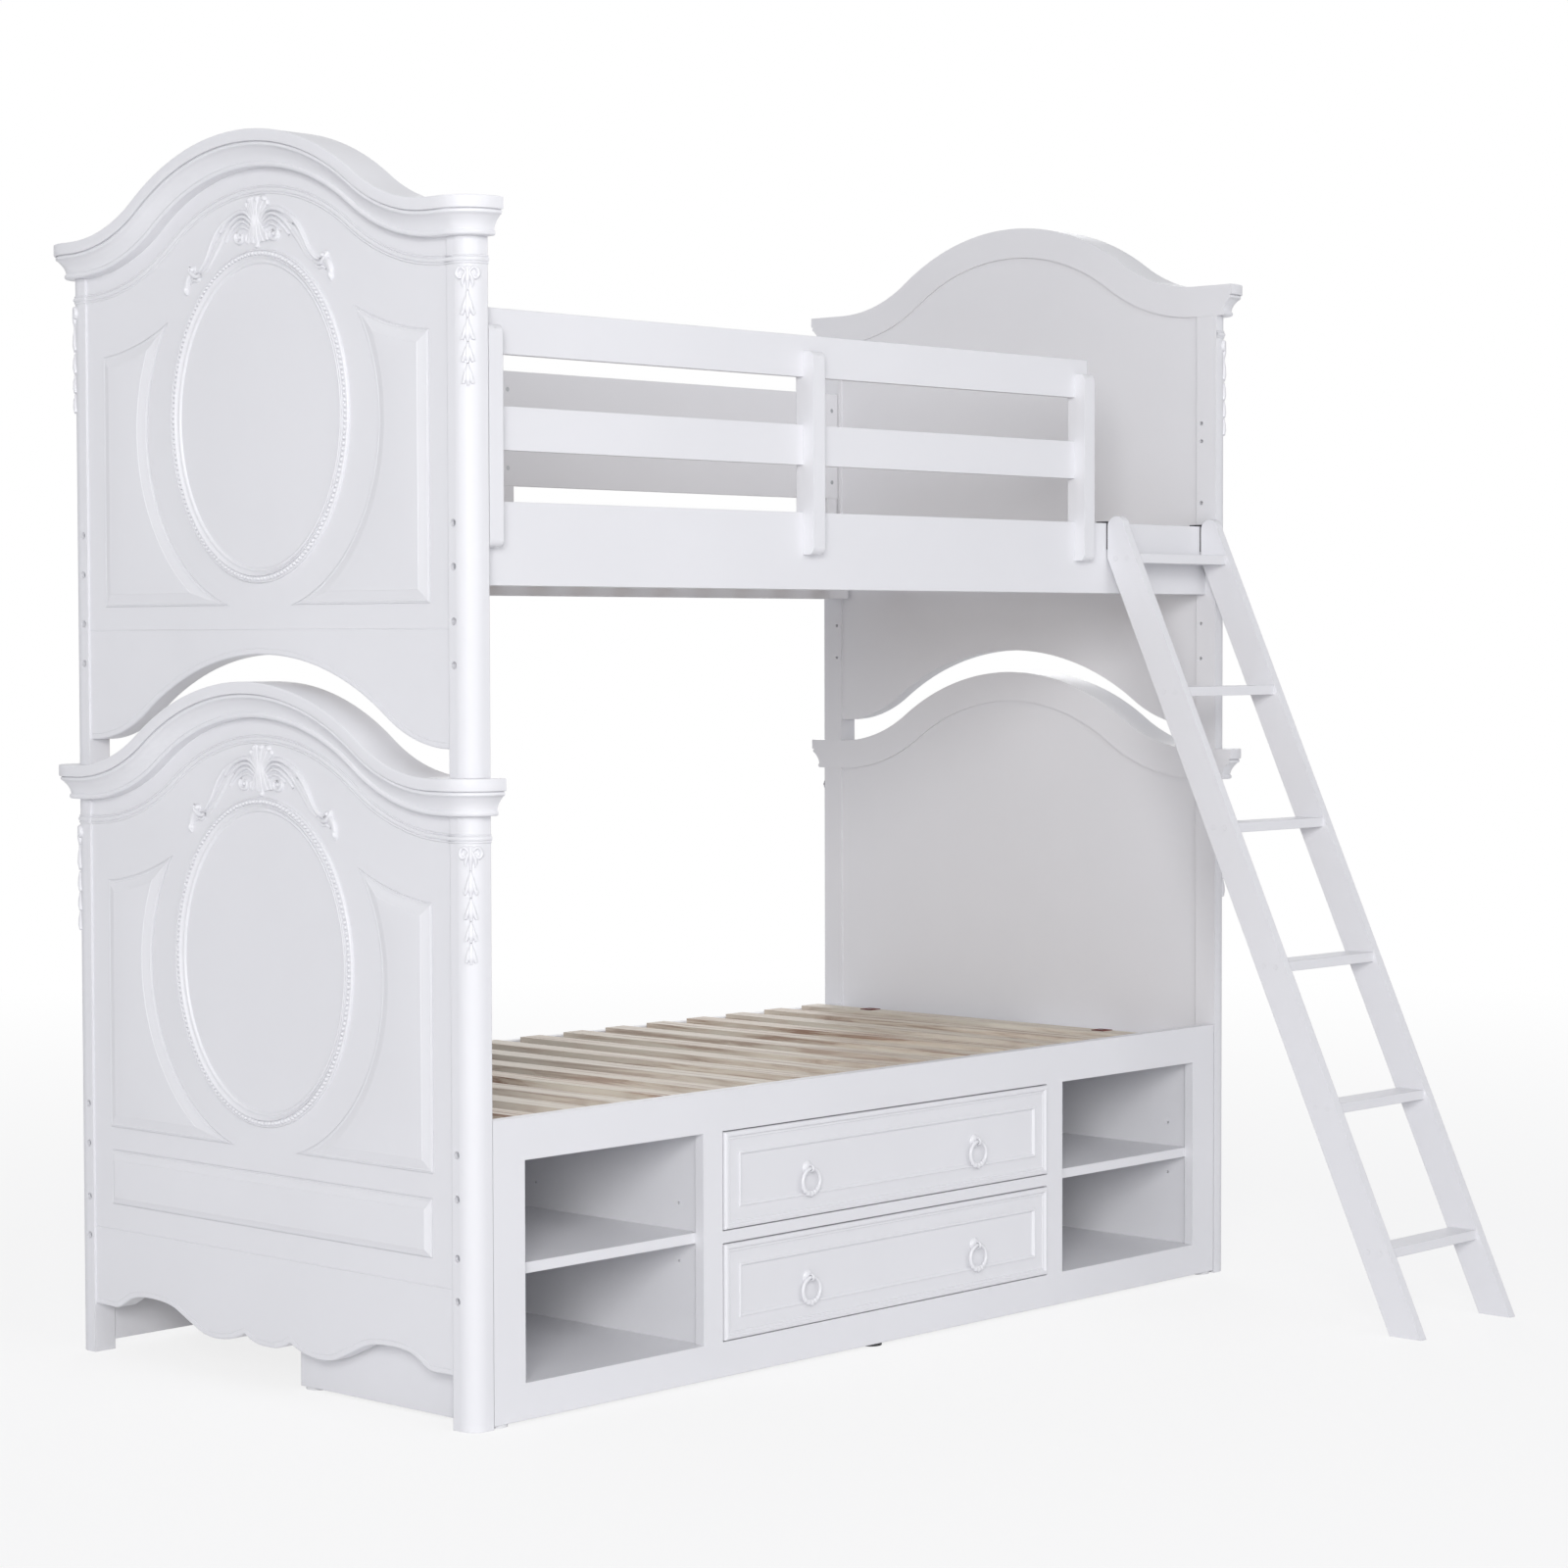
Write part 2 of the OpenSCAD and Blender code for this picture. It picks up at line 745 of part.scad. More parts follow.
// Upright battens on the +Y side: they lap the rail and the boards and fill the space between them
module battens(xs) {
    difference() {
        for (x = xs) {
            r = batten_t / 2;
            box([x - batten_w / 2, rail_face, batten_z[0]],
                [x + batten_w / 2, rail_face + batten_t - r, batten_z[1]]);
            box([x - batten_w / 2, rail_face + batten_t - r - tiny, batten_z[0] + r],
                [x + batten_w / 2, rail_face + batten_t, batten_z[1] - r]);
            for (z = [batten_z[0] + r, batten_z[1] - r])
                rod_x(x - batten_w / 2, x + batten_w / 2, rail_face + batten_t - r, z, r, 32);
            box([x - batten_w / 2, rail_face - guard_t, rail_top],
                [x + batten_w / 2, rail_face, guard_z[0]]);
            box([x - batten_w / 2, rail_face - guard_t, guard_z[0] + guard_h[0]],
                [x + batten_w / 2, rail_face, guard_z[1]]);
        }
        guard_holes(xs);
    }
}

module screws(xs) {
    for (x = xs) {
        for (i = [0:1])
            guard_screw(x, guard_mid(i), guard_t);
        guard_screw(x, rail_screw_z, rail_t);
    }
}

// One cap bolt from the sunk hole in a post to end_x
module bolt(z, end_x) {
    head = x_out - bolt_sink;
    rod_x(end_x, head, bolt_y, z, bolt_r);
    rod_x(head, head + bolt_head_h, bolt_y, z, bolt_head_r, 24);
}

module barrel(z) {
    difference() {
        rod_y(rail_face - rail_t, rail_face - rail_t + barrel_l, barrel_x, z, barrel_r);
        rod_x(barrel_x - 2 * barrel_r, barrel_x + 2 * barrel_r, bolt_y, z, bolt_r);
    }
}

module insert(z) {
    difference() {
        rod_x(base_half - board_t, base_half - board_t + insert_l, bolt_y, z, barrel_r);
        rod_x(base_half - board_t - 1, base_half, bolt_y, z, bolt_r);
    }
}

// ---- storage base, drawn with its front towards -Y ----

module base_face() {
    difference() {
        box([-base_half, -base_front, glide_h], [base_half, -box_front, base_top]);
        both_x() box([bay_in, -base_front - 1, bottom_rail_top], [bay_out, -box_front + 1, top_rail_z]);
        for (z = drawer_z)
            box([-drawer_half, -base_front - 1, z[0]], [drawer_half, -box_front + 1, z[1]]);
    }
}

module base_sides() {
    difference() {
        both_x() box([base_half - board_t, -box_front, glide_h], [base_half, -base_back, deck_z + board_t]);
        both_x() mirror([0, 1, 0]) for (z = base_bolt_z) {
            rod_x(base_half - board_t - 1, base_half + 1, bolt_y, z, bolt_hole_r);
            rod_x(base_half - board_t - 1, base_half - board_t + insert_l, bolt_y, z, barrel_r);
        }
    }
}

wall_in = bay_in - bay_lip;
wall_out = bay_out + bay_lip;
partition_t = 16;

module partitions() {
    difference() {
        both_x() {
            for (x = [wall_in - partition_t, wall_out])
                box([x, -box_front, bottom_rail_top], [x + partition_t, -base_back - bottom_t, deck_z]);
            // packing strips that carry the drawer runners
            for (z = drawer_z)
                box([drawer_half, -box_front, runner_z(z) - runner_h / 2],
                    [wall_in - partition_t, -base_back - bottom_t, runner_z(z) + runner_h / 2]);
        }
        peg_holes();
    }
}

module peg_holes() {
    both_x() for (z = peg_z)
        for (y = peg_y) {
            rod_x(wall_in - 10, wall_in + 1, -y, z - pin_peg_r, pin_peg_r + 0.05);
            rod_x(wall_out - 1, wall_out + 10, -y, z - pin_peg_r, pin_peg_r + 0.05);
        }
}

function runner_z(z) = (z[0] + z[1]) / 2;

module bottom_board() {
    box([-base_half + board_t, -box_front, bottom_rail_top - board_t],
        [base_half - board_t, -base_back - bottom_t, bottom_rail_top]);
}

module deck_board() {
    box([-base_half + board_t, -box_front, deck_z], [base_half - board_t, -base_back, deck_z + board_t]);
}

module rear_board() {
    box([-base_half + board_t, -base_back - bottom_t, glide_h], [base_half - board_t, -base_back, deck_z]);
}

module glides() {
    for (x = [-base_half + glide_r, -38, base_half - glide_r])
        for (y = [-base_front + glide_r, -base_back - glide_r])
            translate([x, y, 0]) cylinder(r = glide_r, h = glide_h, $fn = 24);
}

module shelf_pair() {
    shelf_z = peg_z[1];
    both_x()
        box([wall_in + 0.5, -box_front, shelf_z], [wall_out - 0.5, -base_back - bottom_t - 2, shelf_z + board_t]);
}

module pegs() {
    z = peg_z[1] - pin_peg_r;
    both_x() for (y = peg_y) {
        rod_x(wall_in - 10, wall_in + 8, -y, z, pin_peg_r);
        rod_x(wall_out - 8, wall_out + 10, -y, z, pin_peg_r);
    }
}

module runners() {
    for (z = drawer_z)
        both_x() box([drawer_half - runner_t, -box_front + 2, runner_z(z) - runner_h / 2],
                     [drawer_half, -box_front + 2 + box_depth, runner_z(z) + runner_h / 2]);
}

// Moulded drawer front that fills the opening z less the gaps
module drawer_front(z) {
    half = drawer_half - drawer_gap;
    z0 = z[0] + drawer_gap;
    z1 = z[1] - drawer_gap;
    back = -base_front - drawer_proud + front_t;
    difference() {
        box([-half, -base_front - drawer_proud, z0], [half, back, z1]);
        box([-half + drawer_frame, -base_front - drawer_proud - 1, z0 + drawer_frame],
            [half - drawer_frame, -base_front, z1 - drawer_frame]);
    }
}

module drawer_box(z) {
    mid = runner_z(z);
    y0 = -base_front - drawer_proud + front_t;
    y1 = y0 + box_depth;
    z0 = mid - box_h / 2;
    z1 = mid + box_h / 2;
    difference() {
        box([-box_half, y0, z0], [box_half, y1, z1]);
        box([-box_half + box_t, y0 + box_t, z0 + bottom_t], [box_half - box_t, y1 - box_t, z1 + 1]);
    }
}

// Height of a pull's hinge line on the drawer z
function pull_z(z) = runner_z(z);

pivot_y = -base_front - pivot_out - drawer_proud;

module pull_plates(z) {
    both_x() translate([pull_x, 0, pull_z(z)]) {
        rod_y(-base_front - plate_t, -base_front, 0, 0, plate_r, 32);
        difference() {
            box([-lug_half, pivot_y - lug_h, -lug_h], [lug_half, -base_front - plate_t + tiny, lug_h]);
            rod_x(-lug_half - 1, lug_half + 1, pivot_y, 0, lug_bore, 24);
        }
    }
}

module pull_ring(x, z) {
    translate([x, pivot_y, pull_z(z) - ring_r])
        rotate([90, 0, 0]) rotate_extrude($fn = 40)
            translate([ring_r, 0]) circle(r = ring_rod, $fn = small_fn);
}

// ---- ladder ----

// Distance of the ladder rail's front edge from the middle at height z
function ladder_front(z) = -ladder_foot + slope * z;

module rail_outline() {
    elbow_z = (ladder_foot - ladder_d - ladder_back) / slope;
    head_z = ladder_top - head_r;
    union() {
        polygon([
            [-ladder_foot, 0], [-ladder_foot + ladder_d, 0], [-ladder_back, elbow_z],
            [-ladder_back, head_z], [-ladder_back - 2 * head_r, head_z]
        ]);
        translate([-ladder_back - head_r, head_z]) circle(r = head_r);
    }
}

function step_y(z) = [ladder_front(z) + 3, ladder_front(z - step_t) + ladder_d - 1];

module ladder_rail_pair() {
    difference() {
        for (x = ladder_x)
            along_x(x, x + ladder_t) rail_outline();
        ladder_screw_set(0.05);
    }
}

module ladder_step_set() {
    difference() {
        for (i = [0:step_count - 1]) {
            z = step_z0 + i * step_pitch;
            box([ladder_x[0] + ladder_t, step_y(z)[0], z - step_t], [ladder_x[1], step_y(z)[1], z]);
        }
        ladder_screw_set(0.05);
    }
}

// Two screws through each rail into each end of each step
module ladder_screw_set(air) {
    for (i = [0:step_count - 1]) {
        z = step_z0 + i * step_pitch;
        for (y = [step_y(z)[0] + 14, step_y(z)[1] - 14]) {
            rod_x(ladder_x[0], ladder_x[0] + screw_l + air, y, z - step_t / 2, screw_r + air);
            rod_x(ladder_x[0], ladder_x[0] + screw_head_h, y, z - step_t / 2, screw_head_r + air);
            rod_x(
                ladder_x[1] + ladder_t - screw_l - air, ladder_x[1] + ladder_t,
                y, z - step_t / 2, screw_r + air
            );
            rod_x(ladder_x[1] + ladder_t - screw_head_h, ladder_x[1] + ladder_t, y, z - step_t / 2,
                  screw_head_r + air);
        }
    }
}

module hook_strips() {
    foot_z = rail_top - hook_tail;
    inside = -rail_face + rail_t + ladder_gap;
    for (x = ladder_x) {
        x0 = x + (ladder_t - hook_w) / 2;
        box([x0, -ladder_back, foot_z], [x0 + hook_w, -ladder_back + hook_t, rail_top + ladder_gap + hook_t]);
        box([x0, -ladder_back, rail_top + ladder_gap],
            [x0 + hook_w, inside + hook_t, rail_top + ladder_gap + hook_t]);
        box(
            [x0, inside, rail_top - hook_drop],
            [x0 + hook_w, inside + hook_t, rail_top + ladder_gap + hook_t]
        );
    }
}

// ---- nodes ----

module post_lower_left_front() seat(white) rotate(180) lower_post();
module post_lower_left_back() seat(white) mirror([1, 0, 0]) lower_post();
module post_lower_right_front() seat(white) mirror([0, 1, 0]) lower_post();
module post_lower_right_back() seat(white) lower_post();
module post_upper_left_front() seat(white) rotate(180) upper_post();
module post_upper_left_back() seat(white) mirror([1, 0, 0]) upper_post();
module post_upper_right_front() seat(white) mirror([0, 1, 0]) upper_post();
module post_upper_right_back() seat(white) upper_post();
module end_panel_lower_left() seat(white) mirror([1, 0, 0]) lower_panel();
module end_panel_lower_right() seat(white) lower_panel();
module end_panel_upper_left() seat(white) mirror([1, 0, 0]) upper_panel();
module end_panel_upper_right() seat(white) upper_panel();
module crown_lower_left() seat(white) mirror([1, 0, 0]) lower_crown();
module crown_lower_right() seat(white) lower_crown();
module crown_upper_left() seat(white) mirror([1, 0, 0]) crown(upper_tip);
module crown_upper_right() seat(white) crown(upper_tip);
module neck_mouldings() seat(white) both_x() for (tip = [lower_tip, upper_tip]) neck_moulding(tip);
module oval_frames() seat(white) both_x() for (tip = [lower_tip, upper_tip]) oval_frame(tip);
module carved_onlays() seat(white) both_x() for (tip = [lower_tip, upper_tip]) carved_onlay(tip);
module post_drops() seat(white) both_x() both_y() for (tip = [lower_tip, upper_tip]) post_drop(tip);
module stacking_pins() seat(steel) both_x() both_y() stacking_pin();
module side_rail_front() seat(white) mirror([0, 1, 0]) difference() {
    side_rail();
    guard_holes(front_battens);
}
module side_rail_back() seat(white) difference() {
    side_rail();
    guard_holes(back_battens);
}
module back_support_panel() seat(white) back_panel();
module slat_cleats() seat(white) cleats();
module slats_lower() seat(pine) slats(slat_z_lower, -slat_front, rail_face - rail_t - 1);
module slats_upper() seat(pine) slats(slat_z_upper, -rail_face + rail_t + 1, rail_face - rail_t - 1);
module slat_webbing() seat(webbing_red) webbing();
module guard_front_boards() seat(white) mirror([0, 1, 0]) guard_boards(-base_half, guard_end, front_battens);
module guard_front_battens() seat(white) mirror([0, 1, 0]) battens(front_battens);
module guard_back_boards() seat(white) guard_boards(-base_half, base_half, back_battens);
module guard_back_battens() seat(white) battens(back_battens);
module frame_bolts() seat(steel) both_x() {
    both_y() for (z = rail_bolt_z) bolt(z, bolt_end);
    for (z = base_bolt_z) {
        bolt(z, bolt_end);
        mirror([0, 1, 0]) bolt(z, base_half - board_t + 2);
    }
}
module barrel_nuts() seat(steel) both_x() {
    both_y() for (z = rail_bolt_z) barrel(z);
    for (z = base_bolt_z) {
        barrel(z);
        mirror([0, 1, 0]) insert(z);
    }
}
module guard_screws() seat(steel) {
    mirror([0, 1, 0]) screws(front_battens);
    screws(back_battens);
}
module face_frame() seat(white) base_face();
module storage_sides() seat(white) base_sides();
module storage_partitions() seat(white) partitions();
module storage_bottom() seat(white) bottom_board();
module storage_deck() seat(white) deck_board();
module storage_back() seat(white) rear_board();
module floor_glides() seat(dark) glides();
module shelves() seat(white) shelf_pair();
module shelf_pins() seat(steel) pegs();
module drawer_runners() seat(steel) runners();
module drawer_upper_front() seat(white) drawer_front(drawer_z[1]);
module drawer_upper_box() seat(white) drawer_box(drawer_z[1]);
module drawer_lower_front() seat(white) drawer_front(drawer_z[0]);
module drawer_lower_box() seat(white) drawer_box(drawer_z[0]);
module pull_upper_left_ring() seat(white) pull_ring(-pull_x, drawer_z[1]);
module pull_upper_right_ring() seat(white) pull_ring(pull_x, drawer_z[1]);
module pull_lower_left_ring() seat(white) pull_ring(-pull_x, drawer_z[0]);
module pull_lower_right_ring() seat(white) pull_ring(pull_x, drawer_z[0]);
module drawer_upper_plates() seat(white) pull_plates(drawer_z[1]);
module drawer_lower_plates() seat(white) pull_plates(drawer_z[0]);
module ladder_rails() seat(white) ladder_rail_pair();
module ladder_steps() seat(white) ladder_step_set();
module ladder_hooks() seat(dark) hook_strips();
module ladder_screws() seat(steel) ladder_screw_set(0);

post_lower_left_front();
post_lower_left_back();
post_lower_right_front();
post_lower_right_back();
post_upper_left_front();
post_upper_left_back();
post_upper_right_front();
post_upper_right_back();
end_panel_lower_left();
end_panel_lower_right();
end_panel_upper_left();
end_panel_upper_right();
crown_lower_left();
crown_lower_right();
crown_upper_left();
crown_upper_right();
neck_mouldings();
oval_frames();
carved_onlays();
post_drops();
stacking_pins();
side_rail_front();
side_rail_back();
back_support_panel();
slat_cleats();
slats_lower();
slats_upper();
slat_webbing();
guard_front_boards();
guard_front_battens();
guard_back_boards();
guard_back_battens();
frame_bolts();
barrel_nuts();
guard_screws();
face_frame();
storage_sides();
storage_partitions();
storage_bottom();
storage_deck();
storage_back();
floor_glides();
shelves();
shelf_pins();
drawer_runners();
drawer_upper_front();
drawer_upper_box();
drawer_lower_front();
drawer_lower_box();
pull_upper_left_ring();
pull_upper_right_ring();
pull_lower_left_ring();
pull_lower_right_ring();
drawer_upper_plates();
drawer_lower_plates();
ladder_rails();
ladder_steps();
ladder_hooks();
ladder_screws();
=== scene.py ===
"""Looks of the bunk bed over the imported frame: crowns, panels, carvings, drawer fronts and pulls."""

import json
import math
from functools import partial

import bmesh
import bpy
from mathutils import Matrix, Vector
from mathutils.geometry import delaunay_2d_cdt

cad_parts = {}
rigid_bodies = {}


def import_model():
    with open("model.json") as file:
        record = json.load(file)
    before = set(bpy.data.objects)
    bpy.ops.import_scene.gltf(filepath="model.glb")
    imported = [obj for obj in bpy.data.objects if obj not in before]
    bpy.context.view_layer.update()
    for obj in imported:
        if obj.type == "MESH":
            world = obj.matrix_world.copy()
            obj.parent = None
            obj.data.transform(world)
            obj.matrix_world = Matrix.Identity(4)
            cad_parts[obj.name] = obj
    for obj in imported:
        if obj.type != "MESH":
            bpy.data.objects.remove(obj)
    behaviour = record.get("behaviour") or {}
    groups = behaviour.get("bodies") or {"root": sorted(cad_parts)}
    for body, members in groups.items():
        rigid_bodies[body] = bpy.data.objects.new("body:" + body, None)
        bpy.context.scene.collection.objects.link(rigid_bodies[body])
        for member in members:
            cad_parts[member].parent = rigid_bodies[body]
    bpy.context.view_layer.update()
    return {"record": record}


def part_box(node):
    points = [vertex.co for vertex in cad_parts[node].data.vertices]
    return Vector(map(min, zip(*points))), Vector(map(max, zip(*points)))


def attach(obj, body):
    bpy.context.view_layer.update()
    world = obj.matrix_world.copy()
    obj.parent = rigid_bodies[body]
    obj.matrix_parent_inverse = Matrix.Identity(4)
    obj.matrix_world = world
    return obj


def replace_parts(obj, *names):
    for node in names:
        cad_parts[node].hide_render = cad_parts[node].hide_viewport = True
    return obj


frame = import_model()

MM = 0.001

# ---------------------------------------------------------------- places taken from the frame

post_lo, post_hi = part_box("post_upper_right_back")
crown_lo, crown_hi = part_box("crown_upper_right")
low_crown_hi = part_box("crown_lower_right")[1]
panel_lo, panel_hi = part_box("end_panel_upper_right")

MID_Y = (crown_lo.y + crown_hi.y) / 2
X_IN, X_OUT = post_lo.x, post_hi.x
Y_IN, Y_OUT = post_lo.y - MID_Y, post_hi.y - MID_Y
OVER = crown_hi.x - X_OUT
PANEL_OUT, PANEL_IN = panel_hi.x, panel_lo.x
CROWN_RISE = 150 * MM
CONVEX = 500 * MM
HOLLOW = 309 * MM
CROWN_H = 60 * MM
POST_ROUND = 30 * MM
TIPS = {"lower": low_crown_hi.z - CROWN_RISE, "upper": crown_hi.z - CROWN_RISE}
TURN_Y = math.sqrt(2 * (CONVEX + HOLLOW) * CROWN_RISE - CROWN_RISE**2)
TURN = math.asin(TURN_Y / (CONVEX + HOLLOW))
OVAL_DROP = 322 * MM
ARCH_GAP = 45 * MM
# Points nearer to each other than this are one point
WELD = 2e-6

# ---------------------------------------------------------------- mesh helpers


def place(x, y, z):
    """A point of the bed, with y counted from its middle line, in the frame's own axes."""
    return (x, y + MID_Y, z)


def make(name, verts, faces, material, body, smooth):
    """A mesh object that rides on a body, smooth except over edges sharper than an angle."""
    mesh = bpy.data.meshes.new(name)
    mesh.from_pydata(verts, [], faces)
    bm = bmesh.new()
    bm.from_mesh(mesh)
    bmesh.ops.remove_doubles(bm, verts=bm.verts, dist=WELD)
    bmesh.ops.dissolve_degenerate(bm, edges=bm.edges, dist=WELD)
    bm.to_mesh(mesh)
    bm.free()
    mesh.materials.append(material)
    obj = bpy.data.objects.new(name, mesh)
    bpy.context.scene.collection.objects.link(obj)
    mesh.shade_smooth()
    mesh.set_sharp_from_angle(angle=math.radians(smooth))
    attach(obj, body)
    return obj


class Build:
    """Collects points and faces of one piece. Each batch of faces is turned to face out, or along facing."""

    def __init__(self, facing=None):
        self.verts = []
        self.faces = []
        self.facing = facing

    def turn(self, first, facing):
        """Reverses the faces from first on if, taken together, they face the wrong way."""
        facing = facing or self.facing
        batch = self.faces[first:]
        middles = [sum((Vector(self.verts[i]) for i in f), Vector()) / len(f) for f in batch]
        centre = sum(middles, Vector()) / len(middles)
        total = 0.0
        for face, middle in zip(batch, middles):
            points = [Vector(self.verts[i]) for i in face]
            normal = Vector()
            for a, b in zip(points, points[1:] + points[:1]):
                normal += (a - middle).cross(b - middle)
            total += normal.dot(Vector(facing) if facing else middle - centre)
        if total < 0:
            self.faces[first:] = [tuple(reversed(f)) for f in batch]

    def grid(self, rows, close_rows=False, close_cols=False, facing=None):
        """Quads between rows of points of equal length."""
        start, first = len(self.verts), len(self.faces)
        count, width = len(rows), len(rows[0])
        for row in rows:
            self.verts.extend(row)
        for r in range(count if close_rows else count - 1):
            for c in range(width if close_cols else width - 1):
                a = start + r * width + c
                b = start + r * width + (c + 1) % width
                d = start + (r + 1) % count * width + c
                e = start + (r + 1) % count * width + (c + 1) % width
                self.faces.append((a, b, e, d))
        self.turn(first, facing)

    def fan(self, loop, facing):
        """One flat face."""
        start, first = len(self.verts), len(self.faces)
        self.verts.extend(loop)
        self.faces.append(tuple(range(start, start + len(loop))))
        self.turn(first, facing)

    def flat(self, loops, to_point, facing):
        """A flat region bounded by loops of (u, v); the loops after the first are holes."""
        points, outlines = [], []
        for loop in loops:
            outlines.append(list(range(len(points), len(points) + len(loop))))
            points.extend(Vector(p) for p in loop)
        out, _, tris, _, _, _ = delaunay_2d_cdt(points, [], outlines, 2, 1e-7)
        start, first = len(self.verts), len(self.faces)
        self.verts.extend(to_point(p[0], p[1]) for p in out)
        self.faces.extend(tuple(start + i for i in t) for t in tris)
        self.turn(first, facing)

    def piece(self, name, material, slot, body, smooth):
        return make(name, self.verts, self.faces, material, body, smooth)


def mirrored(points_rows, side):
    """Rows of points for the +X end, mirrored for the -X end."""
    return [[(side * x, y, z) for x, y, z in row] for row in points_rows]


def arc(cx, cy, radius, start, end, count):
    """Points on an arc from start to end, in radians."""
    return [(cx + radius * math.cos(start + (end - start) * i / count),
             cy + radius * math.sin(start + (end - start) * i / count)) for i in range(count + 1)]


# ---------------------------------------------------------------- materials


class Tree:
    """The node tree of a material or world. Inputs are set to values or linked to outputs of other nodes."""

    def __init__(self, owner):
        owner.use_nodes = True
        self.owner = owner
        self.nodes, self.links = owner.node_tree.nodes, owner.node_tree.links

    def feed(self, node, **inputs):
        """Sets inputs of a node by name, with an underscore for each space."""
        for name, value in inputs.items():
            self.wire(node.inputs[name.replace("_", " ")], value)

    def wire(self, socket, value):
        if isinstance(value, bpy.types.NodeSocket):
            self.links.new(value, socket)
        else:
            socket.default_value = value

    def add(self, kind, out, *values, **named):
        """An output of a new node. Names in small letters are settings of the node, the others its inputs."""
        node = self.nodes.new("ShaderNode" + kind)
        for name, value in named.items():
            if name.islower():
                setattr(node, name, value)
        for socket, value in zip(node.inputs, values):
            self.wire(socket, value)
        self.feed(node, **{name: value for name, value in named.items() if not name.islower()})
        return node.outputs[out]

    def calc(self, operation, *values):
        return self.add("Math", 0, *values, operation=operation)

    def ramp(self, value, first, last, *between):
        """Colours along a value, each given as (place, colour)."""
        colour = self.add("ValToRGB", "Color", Fac=value)
        elements = colour.node.color_ramp.elements
        for element, (at, shade) in zip(elements, (first, last)):
            element.position, element.color = at, (*shade, 1)
        for at, shade in between:
            elements.new(at).color = (*shade, 1)
        return colour

    def relief(self, height, strength, distance, easing=0):
        """A bump, over edges eased by a small radius if one is given."""
        normal = self.add("Bump", "Normal", Strength=strength, Distance=distance, Height=height)
        if easing:
            self.feed(normal.node, Normal=self.add("Bevel", "Normal", samples=4, Radius=easing))
        return normal

    def surface(self, **inputs):
        self.feed(self.nodes["Principled BSDF"], **inputs)

    def seen(self):
        """1 for rays that show the backdrop itself: from the camera, off gloss or through glass."""
        rays = self.add("LightPath", 0).node.outputs
        either = self.calc("MAXIMUM", rays["Is Camera Ray"], rays["Is Glossy Ray"])
        return self.calc("MAXIMUM", either, rays["Is Transmission Ray"])


def lacquer(name, colour, roughness, coat, easing):
    """Sprayed satin lacquer: faint mottling, a fine orange-peel bump and edges eased by a small radius."""
    tree = Tree(bpy.data.materials.new(name))
    where = tree.add("TexCoord", "Object")
    broad = tree.add("TexNoise", "Fac", Vector=where, Scale=3.0, Detail=3.0)
    sheen = tree.add("TexNoise", "Fac", Vector=where, Scale=24.0)
    peel = tree.add("TexNoise", "Fac", Vector=where, Scale=260.0, Detail=2.0)
    tree.surface(
        Base_Color=tree.ramp(broad, (0.3, [c * 0.975 for c in colour]), (0.7, colour)),
        Roughness=tree.add("MapRange", "Result", Value=sheen, To_Min=roughness - 0.03,
                           To_Max=roughness + 0.04),
        Normal=tree.relief(peel, 0.08, 0.25 * MM, easing),
        Coat_Weight=coat, Coat_Roughness=0.22, IOR=1.5)
    return tree.owner


def pine(name, pitch, first):
    """Planed pine slats that run across the bed: long grain, darker rings, knots and a tone per slat."""
    tree = Tree(bpy.data.materials.new(name))
    calc = tree.calc
    split = tree.add("SeparateXYZ", 0, tree.add("TexCoord", "Object")).node.outputs
    index = calc("FLOOR", calc("DIVIDE", calc("SUBTRACT", split["X"], first - pitch / 2), pitch))
    number = calc("ADD", index, calc("MULTIPLY", calc("GREATER_THAN", split["Z"], 1.0), 31.0))
    chance = tree.add("TexWhiteNoise", "Value", noise_dimensions="1D", W=number)
    shift = calc("MULTIPLY", number, 3.7)
    along = tree.add("CombineXYZ", "Vector", X=calc("MULTIPLY", split["X"], 60.0),
                     Y=calc("ADD", calc("MULTIPLY", split["Y"], 2.2), shift),
                     Z=calc("MULTIPLY", split["Z"], 60.0))
    rings = tree.add("TexNoise", "Fac", Vector=along, Scale=1.6, Detail=5.0, Roughness=0.62, Distortion=0.5)
    grain = tree.ramp(rings, (0.38, (0.33, 0.20, 0.14)), (0.60, (0.70, 0.64, 0.54)),
                      (0.47, (0.62, 0.52, 0.42)))
    tone = tree.add("Mix", "Result", data_type="RGBA", Factor=calc("MULTIPLY", chance, 0.55), A=grain,
                    B=(0.70, 0.66, 0.58, 1))
    stretch = tree.add("CombineXYZ", "Vector", X=calc("ADD", calc("MULTIPLY", split["X"], 1.4), shift),
                       Y=calc("MULTIPLY", split["Y"], 0.7))
    knots = tree.add("TexVoronoi", "Distance", Vector=stretch, Scale=5.0)
    spot = tree.add("MapRange", "Result", Value=knots, From_Min=0.035, From_Max=0.07, To_Min=0.75, To_Max=0.0)
    tree.surface(
        Base_Color=tree.add("Mix", "Result", data_type="RGBA", Factor=spot, A=tone, B=(0.20, 0.10, 0.05, 1)),
        Roughness=0.62, Normal=tree.relief(rings, 0.25, 0.4 * MM, 1.5 * MM))
    return tree.owner


